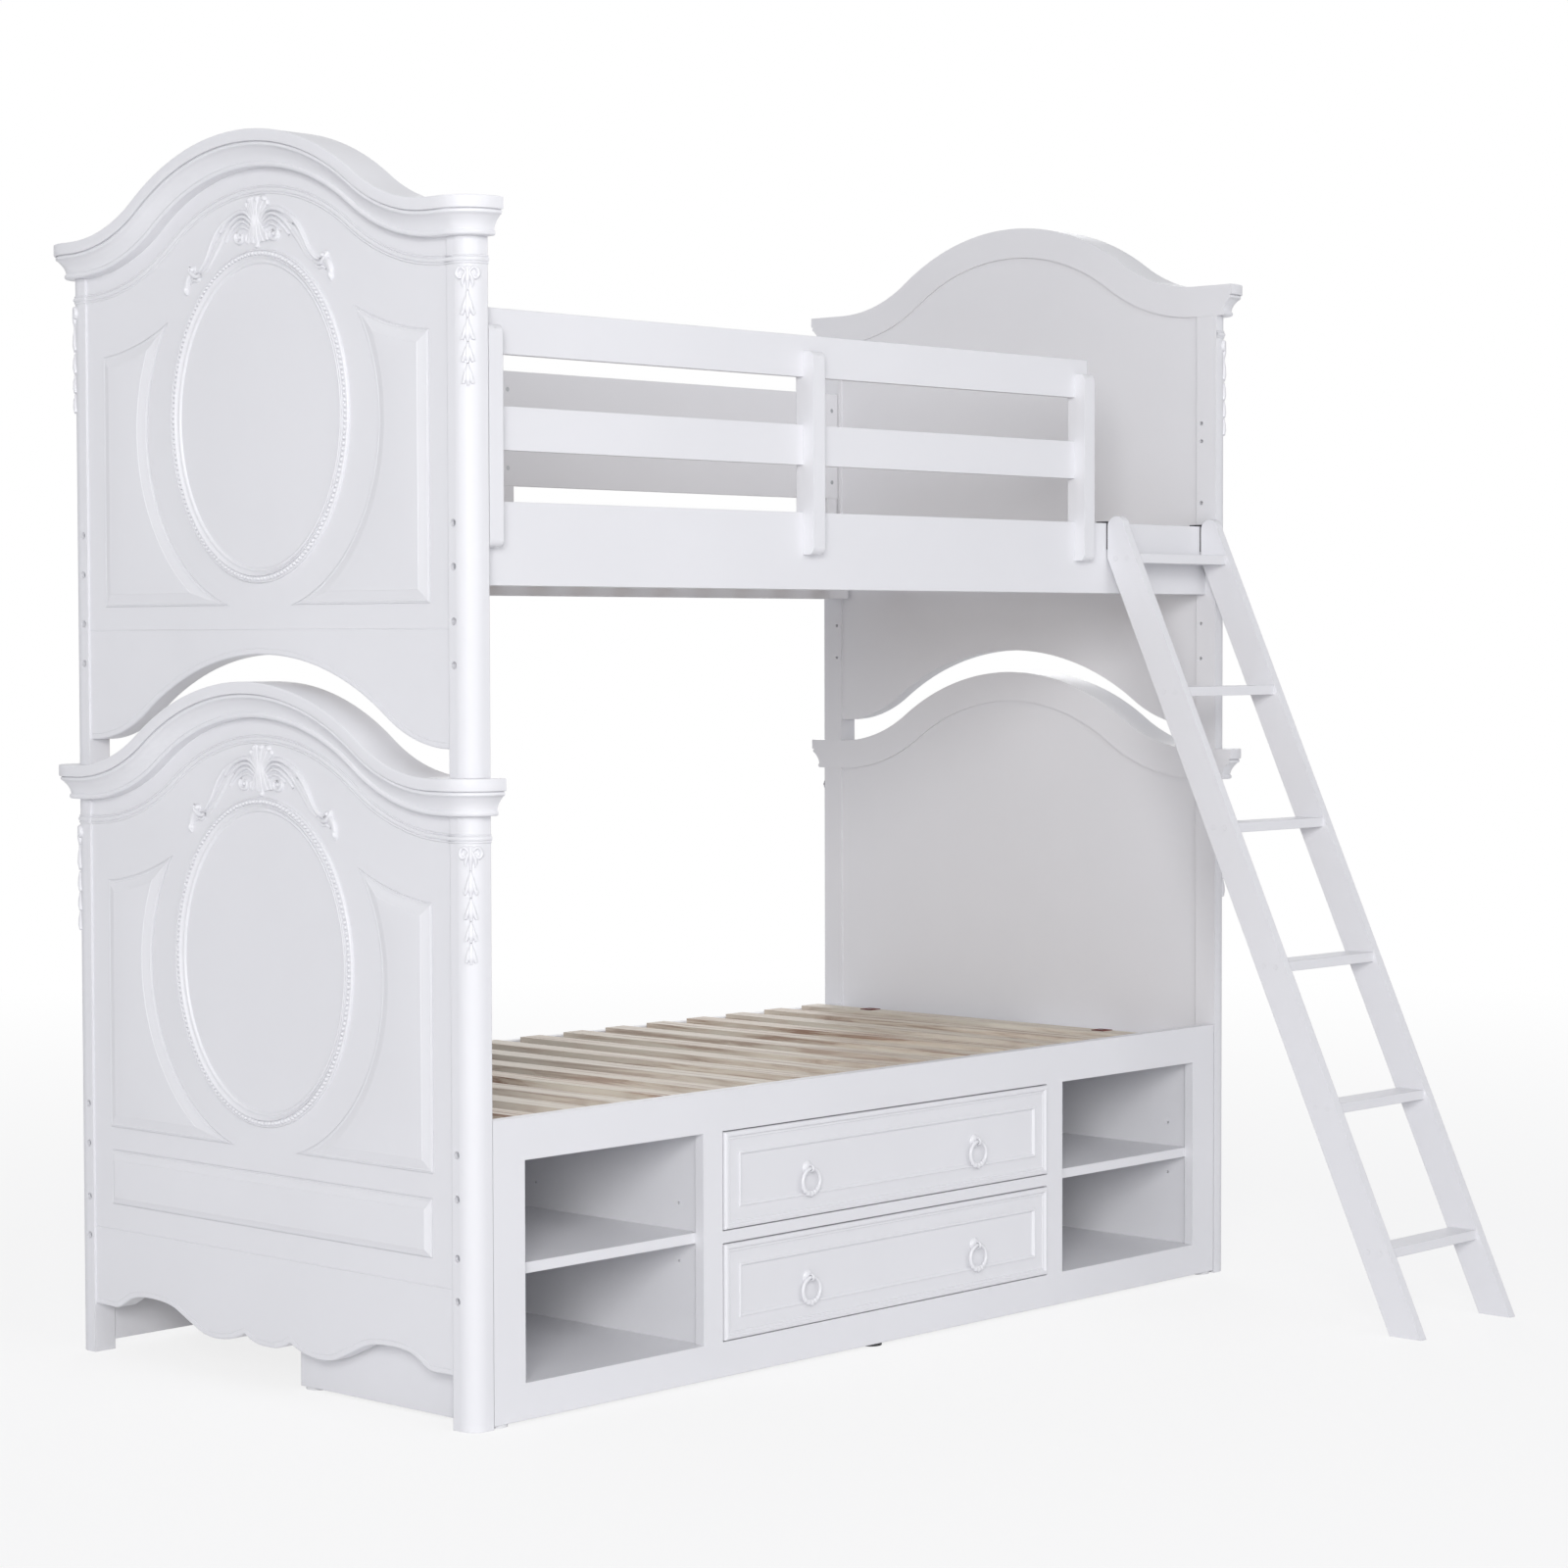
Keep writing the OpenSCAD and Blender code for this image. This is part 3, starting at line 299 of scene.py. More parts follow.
def woven(name):
    """Dark red webbing: ribs along the strap and a fine cross weave."""
    tree = Tree(bpy.data.materials.new(name))
    where = tree.add("TexCoord", "Object")
    ribs, cross = (tree.add("TexWave", "Fac", bands_direction=axis, Vector=where, Scale=scale, Distortion=0.4)
                   for axis, scale in (("Y", 130.0), ("X", 260.0)))
    both = tree.calc("MULTIPLY", ribs, cross)
    tree.surface(Base_Color=tree.ramp(both, (0.0, (0.10, 0.025, 0.022)), (1.0, (0.30, 0.085, 0.07))),
                 Roughness=0.85, Normal=tree.relief(both, 0.5, 0.3 * MM))
    return tree.owner


def metal(name, colour, roughness, metallic, scale):
    """Plated or painted metal, or moulded plastic, with a fine uneven surface."""
    tree = Tree(bpy.data.materials.new(name))
    noise = tree.add("TexNoise", "Fac", Vector=tree.add("TexCoord", "Object"), Scale=scale, Detail=4.0)
    tree.surface(
        Base_Color=tree.ramp(noise, (0.0, [c * 0.82 for c in colour]), (1.0, colour)),
        Roughness=tree.add("MapRange", "Result", Value=noise, To_Min=roughness - 0.05,
                           To_Max=roughness + 0.08),
        Normal=tree.relief(noise, 0.15, 0.2 * MM), Metallic=metallic)
    return tree.owner


DARK_GLIDE = (0.03, 0.03, 0.032)
WHITE_GLIDE = (0.74, 0.74, 0.75, 1)
# A glide farther than this from the bed's middle, in metres, is a corner one
CORNER_FROM = 0.5


def glide_plastic(name):
    """Moulded glides: dark ones under the middle of the base and white ones at its corners."""
    tree = Tree(metal(name, DARK_GLIDE, 0.55, 0.0, 150.0))
    dark = tree.nodes["Principled BSDF"].inputs["Base Color"].links[0].from_socket
    split = tree.add("SeparateXYZ", "X", tree.add("TexCoord", "Object"))
    corner = tree.calc("GREATER_THAN", tree.calc("ABSOLUTE", split), CORNER_FROM)
    tree.surface(Base_Color=tree.add("Mix", "Result", data_type="RGBA", Factor=corner, A=dark, B=WHITE_GLIDE))
    return tree.owner


slats_lo, slats_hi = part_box("slats_lower")
SLAT_COUNT = 16
SLAT_W = 52 * MM
slat_pitch = (slats_hi.x - slats_lo.x - SLAT_W) / (SLAT_COUNT - 1)
WHITE = (0.80, 0.80, 0.825)
MATERIALS = {
    "lacquer": lacquer("white_lacquer", WHITE, 0.55, 0.0, 1.6 * MM),
    "painted_metal": lacquer("white_enamel", WHITE, 0.30, 0.3, 0),
    "pine": pine("pine", slat_pitch, slats_lo.x + SLAT_W / 2),
    "webbing": woven("webbing"),
    "steel": metal("zinc_steel", (0.55, 0.56, 0.58), 0.35, 1.0, 90.0),
    "dark_steel": metal("dark_steel", (0.045, 0.045, 0.05), 0.42, 0.6, 120.0),
    "glide": glide_plastic("glide_plastic"),
}

for part in frame["record"]["subparts"]:
    obj = bpy.data.objects[part["node"]]
    obj.data.materials.clear()
    obj.data.materials.append(MATERIALS[part["material_slot"]])

WHITE_PAINT = lacquer("white_lacquer_mouldings", WHITE, 0.45, 0.1, 0)
bpy.data.objects["ladder_screws"].data.materials[0] = MATERIALS["painted_metal"]

# ---------------------------------------------------------------- the serpentine line of a crown


CONVEX_STEPS, HOLLOW_STEPS = 20, 14


def crown_line(tip, depth):
    """Points (y, z) of the crown's line, moved down by depth, from -TURN_Y to TURN_Y."""
    half = []
    peak_z = tip + CROWN_RISE - CONVEX
    for i in range(CONVEX_STEPS + 1):
        a = TURN * i / CONVEX_STEPS
        half.append(((CONVEX - depth) * math.sin(a), peak_z + (CONVEX - depth) * math.cos(a)))
    for i in range(1, HOLLOW_STEPS + 1):
        a = TURN * (1 - i / HOLLOW_STEPS)
        half.append((TURN_Y - (HOLLOW + depth) * math.sin(a), tip + HOLLOW - (HOLLOW + depth) * math.cos(a)))
    return [(-y, z) for y, z in reversed(half[1:])] + half


def crown_height(tip, depth, y):
    """Height of the crown's line, moved down by depth, at a distance y from the middle."""
    y = abs(y)
    if y <= (CONVEX - depth) * math.sin(TURN):
        return tip + CROWN_RISE - CONVEX + math.sqrt((CONVEX - depth) ** 2 - y * y)
    if y < TURN_Y:
        return tip + HOLLOW - math.sqrt((HOLLOW + depth) ** 2 - (TURN_Y - y) ** 2)
    return tip - depth


def crown_row(tip, depth, over):
    """One line of the crown's moulding: along a side, round the corner, across and back."""
    side = [(X_IN + (X_OUT - POST_ROUND - X_IN) * t, Y_OUT + over) for t in (0, 0.5, 1)]
    corner = arc(X_OUT - POST_ROUND, Y_OUT - POST_ROUND, POST_ROUND + over, math.pi / 2, 0, 8)
    plan = side[:-1] + corner
    first = [place(x, -y, tip - depth) for x, y in plan]
    middle = [place(X_OUT + over, y, z) for y, z in crown_line(tip, depth)]
    last = [place(x, y, tip - depth) for x, y in reversed(plan)]
    return first + middle + last


CROWN_PROFILE = [
    (0.0, -1.8), (0.35, -0.7), (1.2, -0.15), (2.6, 0.0), (17.8, 0.0), (19.3, -0.4), (20.0, -1.4),
    (20.0, -6.0),
    (20.8, -6.2), (21.2, -4.6), (22.6, -3.2), (24.4, -2.8), (26.2, -3.3), (27.6, -4.8), (28.2, -6.6),
    (31.0, -9.6), (34.5, -13.0), (38.5, -16.2), (43.0, -18.9), (47.5, -20.6), (51.0, -21.3),
    (51.6, -20.4), (53.0, -19.0), (55.6, -18.2), (58.2, -19.0), (59.6, -20.6), (60.0, -23.0), (60.0, -30.0),
]

# ---------------------------------------------------------------- crowns


def crown(level, end, side):
    tip = TIPS[level]
    rows = [crown_row(tip, d * MM, OVER + o * MM) for d, o in CROWN_PROFILE]
    flush = [[(X_IN, y, z) for x, y, z in row] for row in rows]
    build = Build()
    build.grid(mirrored(rows + list(reversed(flush)), side), close_rows=True)
    node = f"crown_{level}_{end}"
    piece = build.piece(node + "_moulded", WHITE_PAINT, "lacquer", "frame", 28)
    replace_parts(piece, node)


ENDS = {"left": -1, "right": 1}
for level in TIPS:
    for end, side in ENDS.items():
        crown(level, end, side)

# ---------------------------------------------------------------- neck mouldings

NECK_FROM = 89 * MM
NECK_PROFILE = [(0, 0.2), (0.4, 1.4), (1.6, 2.2), (2.8, 1.6), (3.2, 0.9), (3.7, 1.8), (5.0, 3.4),
                (7.2, 4.0), (9.4, 3.4), (10.7, 1.8), (11.2, 0.9), (11.7, 1.7), (13.0, 2.3), (14.4, 1.5),
                (15, 0.2)]


def neck(level, side, build):
    tip = TIPS[level]
    for s in (-1, 1):
        rows = []
        for d, o in NECK_PROFILE:
            over = o * MM
            corner = arc(X_OUT - POST_ROUND, Y_OUT - POST_ROUND, POST_ROUND + over, math.pi / 2, 0, 8)
            plan = [(X_IN, Y_OUT + over)] + corner + [(X_OUT + over, Y_IN - over), (PANEL_OUT, Y_IN - over)]
            rows.append([place(x, s * y, tip - NECK_FROM - d * MM) for x, y in plan])
        build.grid(mirrored(rows, side), facing=(side, s, 0))
    rows = []
    for d, o in NECK_PROFILE:
        depth = NECK_FROM + d * MM
        line = [(-Y_IN, tip - depth)] + crown_line(tip, depth) + [(Y_IN, tip - depth)]
        rows.append([place(PANEL_OUT + o * MM, y, z) for y, z in line])
    build.grid(mirrored(rows, side), facing=(side, 0, 0))


necks = Build()
for level in TIPS:
    for side in ENDS.values():
        neck(level, side, necks)
neck_piece = necks.piece("neck_mouldings_moulded", WHITE_PAINT, "lacquer", "frame", 50)
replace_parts(neck_piece, "neck_mouldings")

# ---------------------------------------------------------------- end panels

FIELD_SIDE = Y_IN - 47 * MM
FIELD_BOTTOM = 637.5 * MM
FIELD_TOP = 203 * MM
FIELD_OVAL = (303 * MM, 312 * MM)
FIELD_OVAL_DROP = 336.5 * MM
FIELD_PROFILE = [(0.0, 0.0), (0.2, -1.2), (1.1, -1.2), (1.3, 0.9), (2.1, 1.2), (2.4, 0.5), (3.4, 0.5),
                 (3.8, 2.0), (5.4, 2.6), (6.4, 2.1), (13.0, 3.7), (20.5, 5.9), (21.8, 6.1), (22.2, 6.8),
                 (24.0, 7.0)]
SEAM = {"lower": 225.5 * MM, "upper": 1280 * MM}


def field_loop(tip, inset):
    """Outline of the field at +Y, moved inwards by inset: bottom corner, up, along the top, down the oval."""
    side, bottom, depth = FIELD_SIDE - inset, tip - FIELD_BOTTOM + inset, FIELD_TOP + inset
    half_y, half_z = FIELD_OVAL[0] + inset, FIELD_OVAL[1] + inset
    oval_z = tip - FIELD_OVAL_DROP

    def on_oval(y):
        return oval_z + half_z * math.sqrt(max(0.0, 1 - (y / half_y) ** 2))

    low, high = 0.1, side
    for _ in range(40):
        middle = (low + high) / 2
        if on_oval(middle) > crown_height(tip, depth, middle):
            low = middle
        else:
            high = middle
    tip_y = (low + high) / 2
    start = math.asin(min(1, (on_oval(tip_y) - oval_z) / half_z))
    stop = -math.asin(min(1, (oval_z - bottom) / half_z))
    loop = [(side, bottom)]
    top_n, oval_n = 14, 34
    for i in range(top_n):
        y = side + (tip_y - side) * i / top_n
        loop.append((y, crown_height(tip, depth, y)))
    for i in range(oval_n + 1):
        a = start + (stop - start) * i / oval_n
        loop.append((half_y * math.cos(a), oval_z + half_z * math.sin(a)))
    return loop


def smooth_line(points, steps):
    """Catmull-Rom curve through a few points."""
    out = []
    for i in range(len(points) - 1):
        a, b = points[max(i - 1, 0)], points[i]
        c, d = points[i + 1], points[min(i + 2, len(points) - 1)]
        for k in range(steps):
            t = k / steps
            out.append(tuple(
                0.5 * (2 * b[j] + (c[j] - a[j]) * t + (2 * a[j] - 5 * b[j] + 4 * c[j] - d[j]) * t * t
                       + (3 * b[j] - a[j] - 3 * c[j] + d[j]) * t**3) for j in (0, 1)))
    return out


APRON_OUTER = [(474, 86), (440, 86), (416, 86), (398, 93), (372, 107), (337, 113), (289, 112), (255, 106),
               (227, 94), (200, 82), (172, 71), (140, 67), (106, 70), (79, 77), (60, 85.5)]
APRON_MIDDLE = [(60, 85.5), (44, 77), (22, 71.5), (0, 70.5)]


def lower_edge(level, inset):
    """The panel's lower edge from -Y to +Y, moved into the panel by inset."""
    if level == "upper":
        tip, depth = TIPS["lower"], -ARCH_GAP - inset
        line = crown_line(tip, depth)
        return [(-Y_IN, tip - depth)] + line + [(Y_IN, tip - depth)]
    half = smooth_line([(y * MM, z * MM) for y, z in APRON_OUTER], 4)
    half += smooth_line([(y * MM, z * MM) for y, z in APRON_MIDDLE], 4) + [(0.0, APRON_MIDDLE[-1][1] * MM)]
    moved = []
    for i, (y, z) in enumerate(half):
        before, after = half[max(i - 1, 0)], half[min(i + 1, len(half) - 1)]
        run, rise = after[0] - before[0], after[1] - before[1]
        size = math.hypot(run, rise) or 1
        moved.append((max(0.0, y + inset * rise / size) if i < len(half) - 1 else 0.0,
                      z - inset * run / size if i < len(half) - 1 else z + inset))
    return [(-y, z) for y, z in moved[:-1]] + list(reversed(moved))


EDGE_PROFILE = [(0.0, -3.2), (0.5, -1.6), (1.6, -0.5), (3.2, 0.0)]
LIP_PROFILE = [(3.2, 0.0), (9.0, 0.0), (9.6, -0.8), (10.4, 0.0)]


LONG_FIELD = (423 * MM, 270 * MM, 367 * MM)
LONG_BORDER = (14 / 24, 20 / 24)


def long_field_loop(inset):
    """Outline of the long field in a lower end, moved inwards: its border is wider along the top."""
    side = LONG_FIELD[0] - inset * LONG_BORDER[0]
    low, high = LONG_FIELD[1] + inset * LONG_BORDER[0], LONG_FIELD[2] - inset * LONG_BORDER[1]
    return [(-side, low), (side, low), (side, high), (-side, high)]


def end_panel(level, end, side):
    """An end panel with its moulded fields, scored seam and shaped lower edge."""
    tip = TIPS[level]
    out = (side, 0, 0)
    build = Build()

    def at(height_mm):
        return lambda y, z: (side * (PANEL_OUT + height_mm * MM), y + MID_Y, z)

    def line(points, height_mm):
        return [at(height_mm)(y, z) for y, z in points]

    def field(loop_at):
        build.grid([line(loop_at(t * MM), h) for t, h in FIELD_PROFILE], close_cols=True, facing=out)
        build.flat([loop_at(FIELD_PROFILE[-1][0] * MM)], at(FIELD_PROFILE[-1][1]), out)
        return loop_at(0)

    under = lower_edge(level, 0)
    build.grid([[(side * PANEL_IN, y + MID_Y, z) for y, z in under], line(under, EDGE_PROFILE[0][1])],
               facing=(0, 0, -1))
    build.grid([line(lower_edge(level, t * MM), h) for t, h in EDGE_PROFILE + LIP_PROFILE[1:]], facing=out)
    seam, groove = SEAM[level], 1.1 * MM
    low_loop = lower_edge(level, LIP_PROFILE[-1][0] * MM) + [(Y_IN, seam - groove), (-Y_IN, seam - groove)]
    build.flat([low_loop], at(0), out)
    build.grid([line([(-Y_IN, seam + t * groove), (Y_IN, seam + t * groove)], h)
                for t, h in ((-1, 0), (-0.5, -1.2), (0.5, -1.2), (1, 0))], facing=out)
    top = [(-Y_IN, tip - CROWN_H)] + crown_line(tip, CROWN_H) + [(Y_IN, tip - CROWN_H)]
    upper_loop = [(-Y_IN, seam + groove), (Y_IN, seam + groove)] + list(reversed(top))
    holes = [field(lambda inset: [(s * y, z) for y, z in field_loop(tip, inset)]) for s in (-1, 1)]
    if level == "lower":
        holes.append(field(long_field_loop))
    build.flat([upper_loop] + holes, at(0), out)
    build.flat([under + list(reversed(top))], lambda y, z: (side * PANEL_IN, y + MID_Y, z), (-side, 0, 0))
    build.grid([[(side * x, y + MID_Y, z) for y, z in top] for x in (PANEL_IN, PANEL_OUT)], facing=(0, 0, 1))
    node = f"end_panel_{level}_{end}"
    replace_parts(build.piece(node + "_moulded", WHITE_PAINT, "lacquer", "frame", 9), node)


for level in TIPS:
    for end, side in ENDS.items():
        end_panel(level, end, side)

# ---------------------------------------------------------------- pearled oval frames

OVAL = (233 * MM, 278 * MM)
OVAL_PROFILE = [(0.0, -0.5), (0.0, 3.2), (0.7, 4.8), (1.7, 5.2), (2.6, 4.6), (3.0, 3.2), (11.4, 3.2),
                (11.6, 6.0), (12.4, 7.0), (13.2, 6.8), (14.6, 5.0), (16.4, 3.4), (18.4, 2.4), (19.6, 2.2),
                (19.8, 3.4), (20.6, 3.9), (22.4, 3.6), (23.8, 2.4), (24.8, 0.9), (25.2, -0.5)]
PEARL_MID = 7.2 * MM
PEARL_PITCH = 8.9 * MM
PEARL_HALF = (3.7 * MM, 3.95 * MM, 4.9 * MM)
OVAL_STEPS = 160


def oval_point(inset, a):
    return (OVAL[0] - inset) * math.cos(a), (OVAL[1] - inset) * math.sin(a)


def pearl(build, centre, along, across, out):
    """A half bead with its axes along the rim, across it and out of the panel."""
    rows = []
    for ring in range(5):
        lift = math.pi / 2 * ring / 4
        row = []
        for i in range(10):
            a = 2 * math.pi * i / 10
            u, v, w = math.cos(a) * math.cos(lift), math.sin(a) * math.cos(lift), math.sin(lift)
            row.append(tuple(centre + along * (u * PEARL_HALF[1]) + across * (v * PEARL_HALF[0])
                             + out * (w * PEARL_HALF[2])))
        rows.append(row)
    build.grid(rows, close_cols=True)


def oval_frame(level, side, build):
    middle = TIPS[level] - OVAL_DROP
    rows = []
    for inset, h in OVAL_PROFILE:
        row = []
        for i in range(OVAL_STEPS):
            y, z = oval_point(inset * MM, 2 * math.pi * i / OVAL_STEPS)
            row.append((side * (PANEL_OUT + h * MM), y + MID_Y, middle + z))
        rows.append(row)
    out = Vector((side, 0, 0))
    build.grid(rows, close_cols=True, facing=out)
    steps = 4000
    lengths = [0.0]
    before = oval_point(PEARL_MID, 0)
    for i in range(1, steps + 1):
        here = oval_point(PEARL_MID, 2 * math.pi * i / steps)
        lengths.append(lengths[-1] + math.hypot(here[0] - before[0], here[1] - before[1]))
        before = here
    count = round(lengths[-1] / PEARL_PITCH)
    at = 0
    for k in range(count):
        while lengths[at] < lengths[-1] * k / count:
            at += 1
        a = 2 * math.pi * at / steps
        y, z = oval_point(PEARL_MID, a)
        along = Vector((0, -(OVAL[0] - PEARL_MID) * math.sin(a),
                        (OVAL[1] - PEARL_MID) * math.cos(a))).normalized()
        centre = Vector((side * (PANEL_OUT + 3.0 * MM), y + MID_Y, middle + z))
        pearl(build, centre, along, along.cross(out), out)


ovals = Build()
for level in TIPS:
    for side in ENDS.values():
        oval_frame(level, side, ovals)
oval_piece = ovals.piece("oval_frames_pearled", WHITE_PAINT, "lacquer", "frame", 50)
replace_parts(oval_piece, "oval_frames")

# ---------------------------------------------------------------- carving

CARVED_FROM = 0.4 * MM


def curve(points, count):
    """Points and directions at even steps along a smooth line through a few (y, z) points."""
    line = smooth_line(points, 16) + [tuple(map(float, points[-1]))]
    lengths = [0.0]
    for a, b in zip(line, line[1:]):
        lengths.append(lengths[-1] + math.hypot(b[0] - a[0], b[1] - a[1]))
    out = []
    at = 0
    for k in range(count + 1):
        goal = lengths[-1] * k / count
        while at < len(line) - 2 and lengths[at + 1] < goal:
            at += 1
        span = lengths[at + 1] - lengths[at] or 1
        t = (goal - lengths[at]) / span
        a, b = line[at], line[at + 1]
        size = math.hypot(b[0] - a[0], b[1] - a[1]) or 1
        out.append(((a[0] + (b[0] - a[0]) * t, a[1] + (b[1] - a[1]) * t),
                    ((b[0] - a[0]) / size, (b[1] - a[1]) / size)))
    return out


def even(values, t):
    """A value along a short list of values, from its first at t = 0 to its last at t = 1."""
    x = t * (len(values) - 1)
    i = min(int(x), len(values) - 2)
    s = x - i
    s = s * s * (3 - 2 * s)
    return values[i] + (values[i + 1] - values[i]) * s


def stroke(build, to_point, points, widths, heights, steps=26, across=10, bite=0.0):
    """A carved ridge: half widths and heights in millimetres along a line, bite hollows its middle."""
    rows = []
    path = curve(points, steps)
    for k, ((y, z), (dy, dz)) in enumerate(path):
        t = k / steps
        half, high = even(widths, t), even(heights, t)
        row = []
        for j in range(across + 1):
            u = -1 + 2 * j / across
            lift = high * max(0.0, 1 - abs(u) ** 2.2) ** 0.6
            lift *= 1 - bite * math.exp(-(u / 0.42) ** 2)
            row.append(to_point(y - dz * u * half, z + dy * u * half, lift))
        rows.append(row)
    build.grid(rows)


def sided(s, *points):
    """Points of the +Y half of a carving, on its side s."""
    return [(s * y, z) for y, z in points]


DROP_STEPS, DROP_AROUND = 8, 16


def drop(build, to_point, y, z, half_y, half_z, high, turn=0.0):
    """A rounded boss: a leaf tip, a berry or a knob."""
    rows = []
    c, s = math.cos(turn), math.sin(turn)
    for ring in range(DROP_STEPS + 1):
        r = 1 - ring / DROP_STEPS
        lift = high * max(0.0, 1 - r * r) ** 0.5
        row = []
        for i in range(DROP_AROUND):
            a = 2 * math.pi * i / DROP_AROUND
            u, v = half_y * r * math.cos(a), half_z * r * math.sin(a)
            row.append(to_point(y + u * c - v * s, z + u * s + v * c, lift))
        rows.append(row)
    build.grid(rows, close_cols=True)


def carve_crest(build, to_point):
    """Fluted shell with a plume on top, a scroll to each side and a leaf at the end of each scroll."""
    ridge, boss = partial(stroke, build, to_point), partial(drop, build, to_point)
    # stem: three flutes that fan out above and below
    ridge([(0, -39), (0, -20), (0, 6), (0, 26), (0, 43)], (4.5, 4.6, 3.0, 4.4, 6.4),
          (4, 7.6, 7.8, 7.8, 5.5), bite=0.35)
    for s in (-1, 1):
        ridge(sided(s, (13, -33), (8.5, -16), (5.8, 6), (10, 24), (17, 41)), (5, 4.2, 2.8, 4.8, 7),
              (4.6, 7, 7.4, 7.6, 5), bite=0.35)
        ridge(sided(s, (27, -31), (17, -15), (9, 5), (15, 17), (25, 32)), (4.6, 3.8, 2.2, 4.6, 5.6),
              (4.6, 6.2, 6.4, 7, 4.4), bite=0.3)
        boss(s * 19, 38.5, 7.2, 5.4, 6.4, turn=s * -0.5)
        boss(s * 27, 31, 4.4, 5.6, 5.6, turn=s * 0.35)
        # shell lobes that curl out of the stem into the scroll
        ridge(sided(s, (8, -2), (18, 12), (34, 20), (56, 18), (78, 8), (96, -9)),
              (2.2, 3.4, 4.4, 4.6, 4.2, 3.2), (5, 7.2, 7.6, 7, 6.2, 5.2), steps=34)
        ridge(sided(s, (10, -6), (20, 5), (35, 12), (54, 9), (74, -3), (91, -20)),
              (2.0, 3.0, 3.6, 3.8, 3.6, 2.6), (4.6, 6.6, 7.2, 6.6, 5.8, 4.6), steps=34)
        ridge(sided(s, (13, -10), (22, -2), (36, 4), (53, 0), (70, -12), (84, -27)),
              (1.8, 2.6, 3.4, 3.6, 3.2, 2.2), (4.2, 6.0, 6.6, 6.0, 5.0, 4.0), steps=32)
        ridge(sided(s, (17, -13), (27, -8), (38, -5), (51, -9), (63, -19)), (1.6, 2.6, 3.2, 2.8, 1.6),
              (4.0, 5.4, 6.0, 5.0, 3.0), steps=26)
        # the curl under the lobes
        ridge(sided(s, (54, -14), (56, -24), (47, -31), (37, -28), (36, -19), (43, -16)),
              (2.4, 3.4, 3.6, 3.4, 3.0, 2.4), (4.6, 6.4, 6.8, 6.6, 6.4, 5.0), steps=30)
        boss(s * 44, -22, 4.2, 4.2, 6.2)
        ridge(sided(s, (20, -16), (26, -22), (27, -31)), (2.2, 3.2, 3.4), (4.6, 6.4, 4.4), steps=14)
        # the long scroll: a rounded outer edge over a hollow blade
        ridge(sided(s, (66, 15), (90, 3), (109, -14), (123, -34), (135, -53), (151, -69), (163, -72)),
              (3.0, 3.9, 4.2, 4.0, 3.8, 3.4, 2.4), (5.6, 7.4, 8.0, 7.8, 7.2, 6.6, 4.2), steps=46)
        ridge(sided(s, (72, -4), (88, -15), (103, -29), (117, -46), (129, -62), (142, -73)),
              (4.2, 7.4, 8.0, 7.0, 5.0, 2.2), (3.4, 4.4, 4.6, 4.4, 4.0, 2.6), steps=36, across=12, bite=0.3)
        # end leaf
        ridge(sided(s, (150, -76), (162, -79), (173, -74), (180, -66), (178, -62)),
              (2.6, 4.0, 4.6, 4.2, 3.2), (4.4, 6.4, 7.6, 7.6, 5.4), steps=24)
        boss(s * 172, -66.5, 6.2, 5.2, 8.4, turn=s * -0.3)
        ridge(sided(s, (176, -72), (184, -80), (189, -91), (190, -104), (189, -109)),
              (4.6, 6.2, 6.2, 4.6, 2.4), (7.0, 8.0, 7.8, 6.8, 4.2), steps=26, bite=0.16)
        boss(s * 190, -100, 5.0, 8.2, 8.2, turn=s * 0.1)
        ridge(sided(s, (150, -80), (160, -86), (170, -85), (178, -90)), (2.2, 3.2, 3.2, 1.6),
              (3.6, 5.0, 5.2, 3.4), steps=18)
    boss(0, -38.5, 5.2, 4.4, 5.6)
    boss(0, 38.5, 6.6, 5.6, 6.6)


crests = Build()
for level in TIPS:
    for side in ENDS.values():
        tip = TIPS[level]
        crests.facing = (side, 0, 0)
        carve_crest(crests, lambda y, z, h: (side * (PANEL_OUT + h * MM - CARVED_FROM), y * MM + MID_Y,
                                             tip + z * MM))
crest_piece = crests.piece("carved_crests", WHITE_PAINT, "lacquer", "frame", 60)
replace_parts(crest_piece, "carved_onlays")

# ---------------------------------------------------------------- drops on the posts


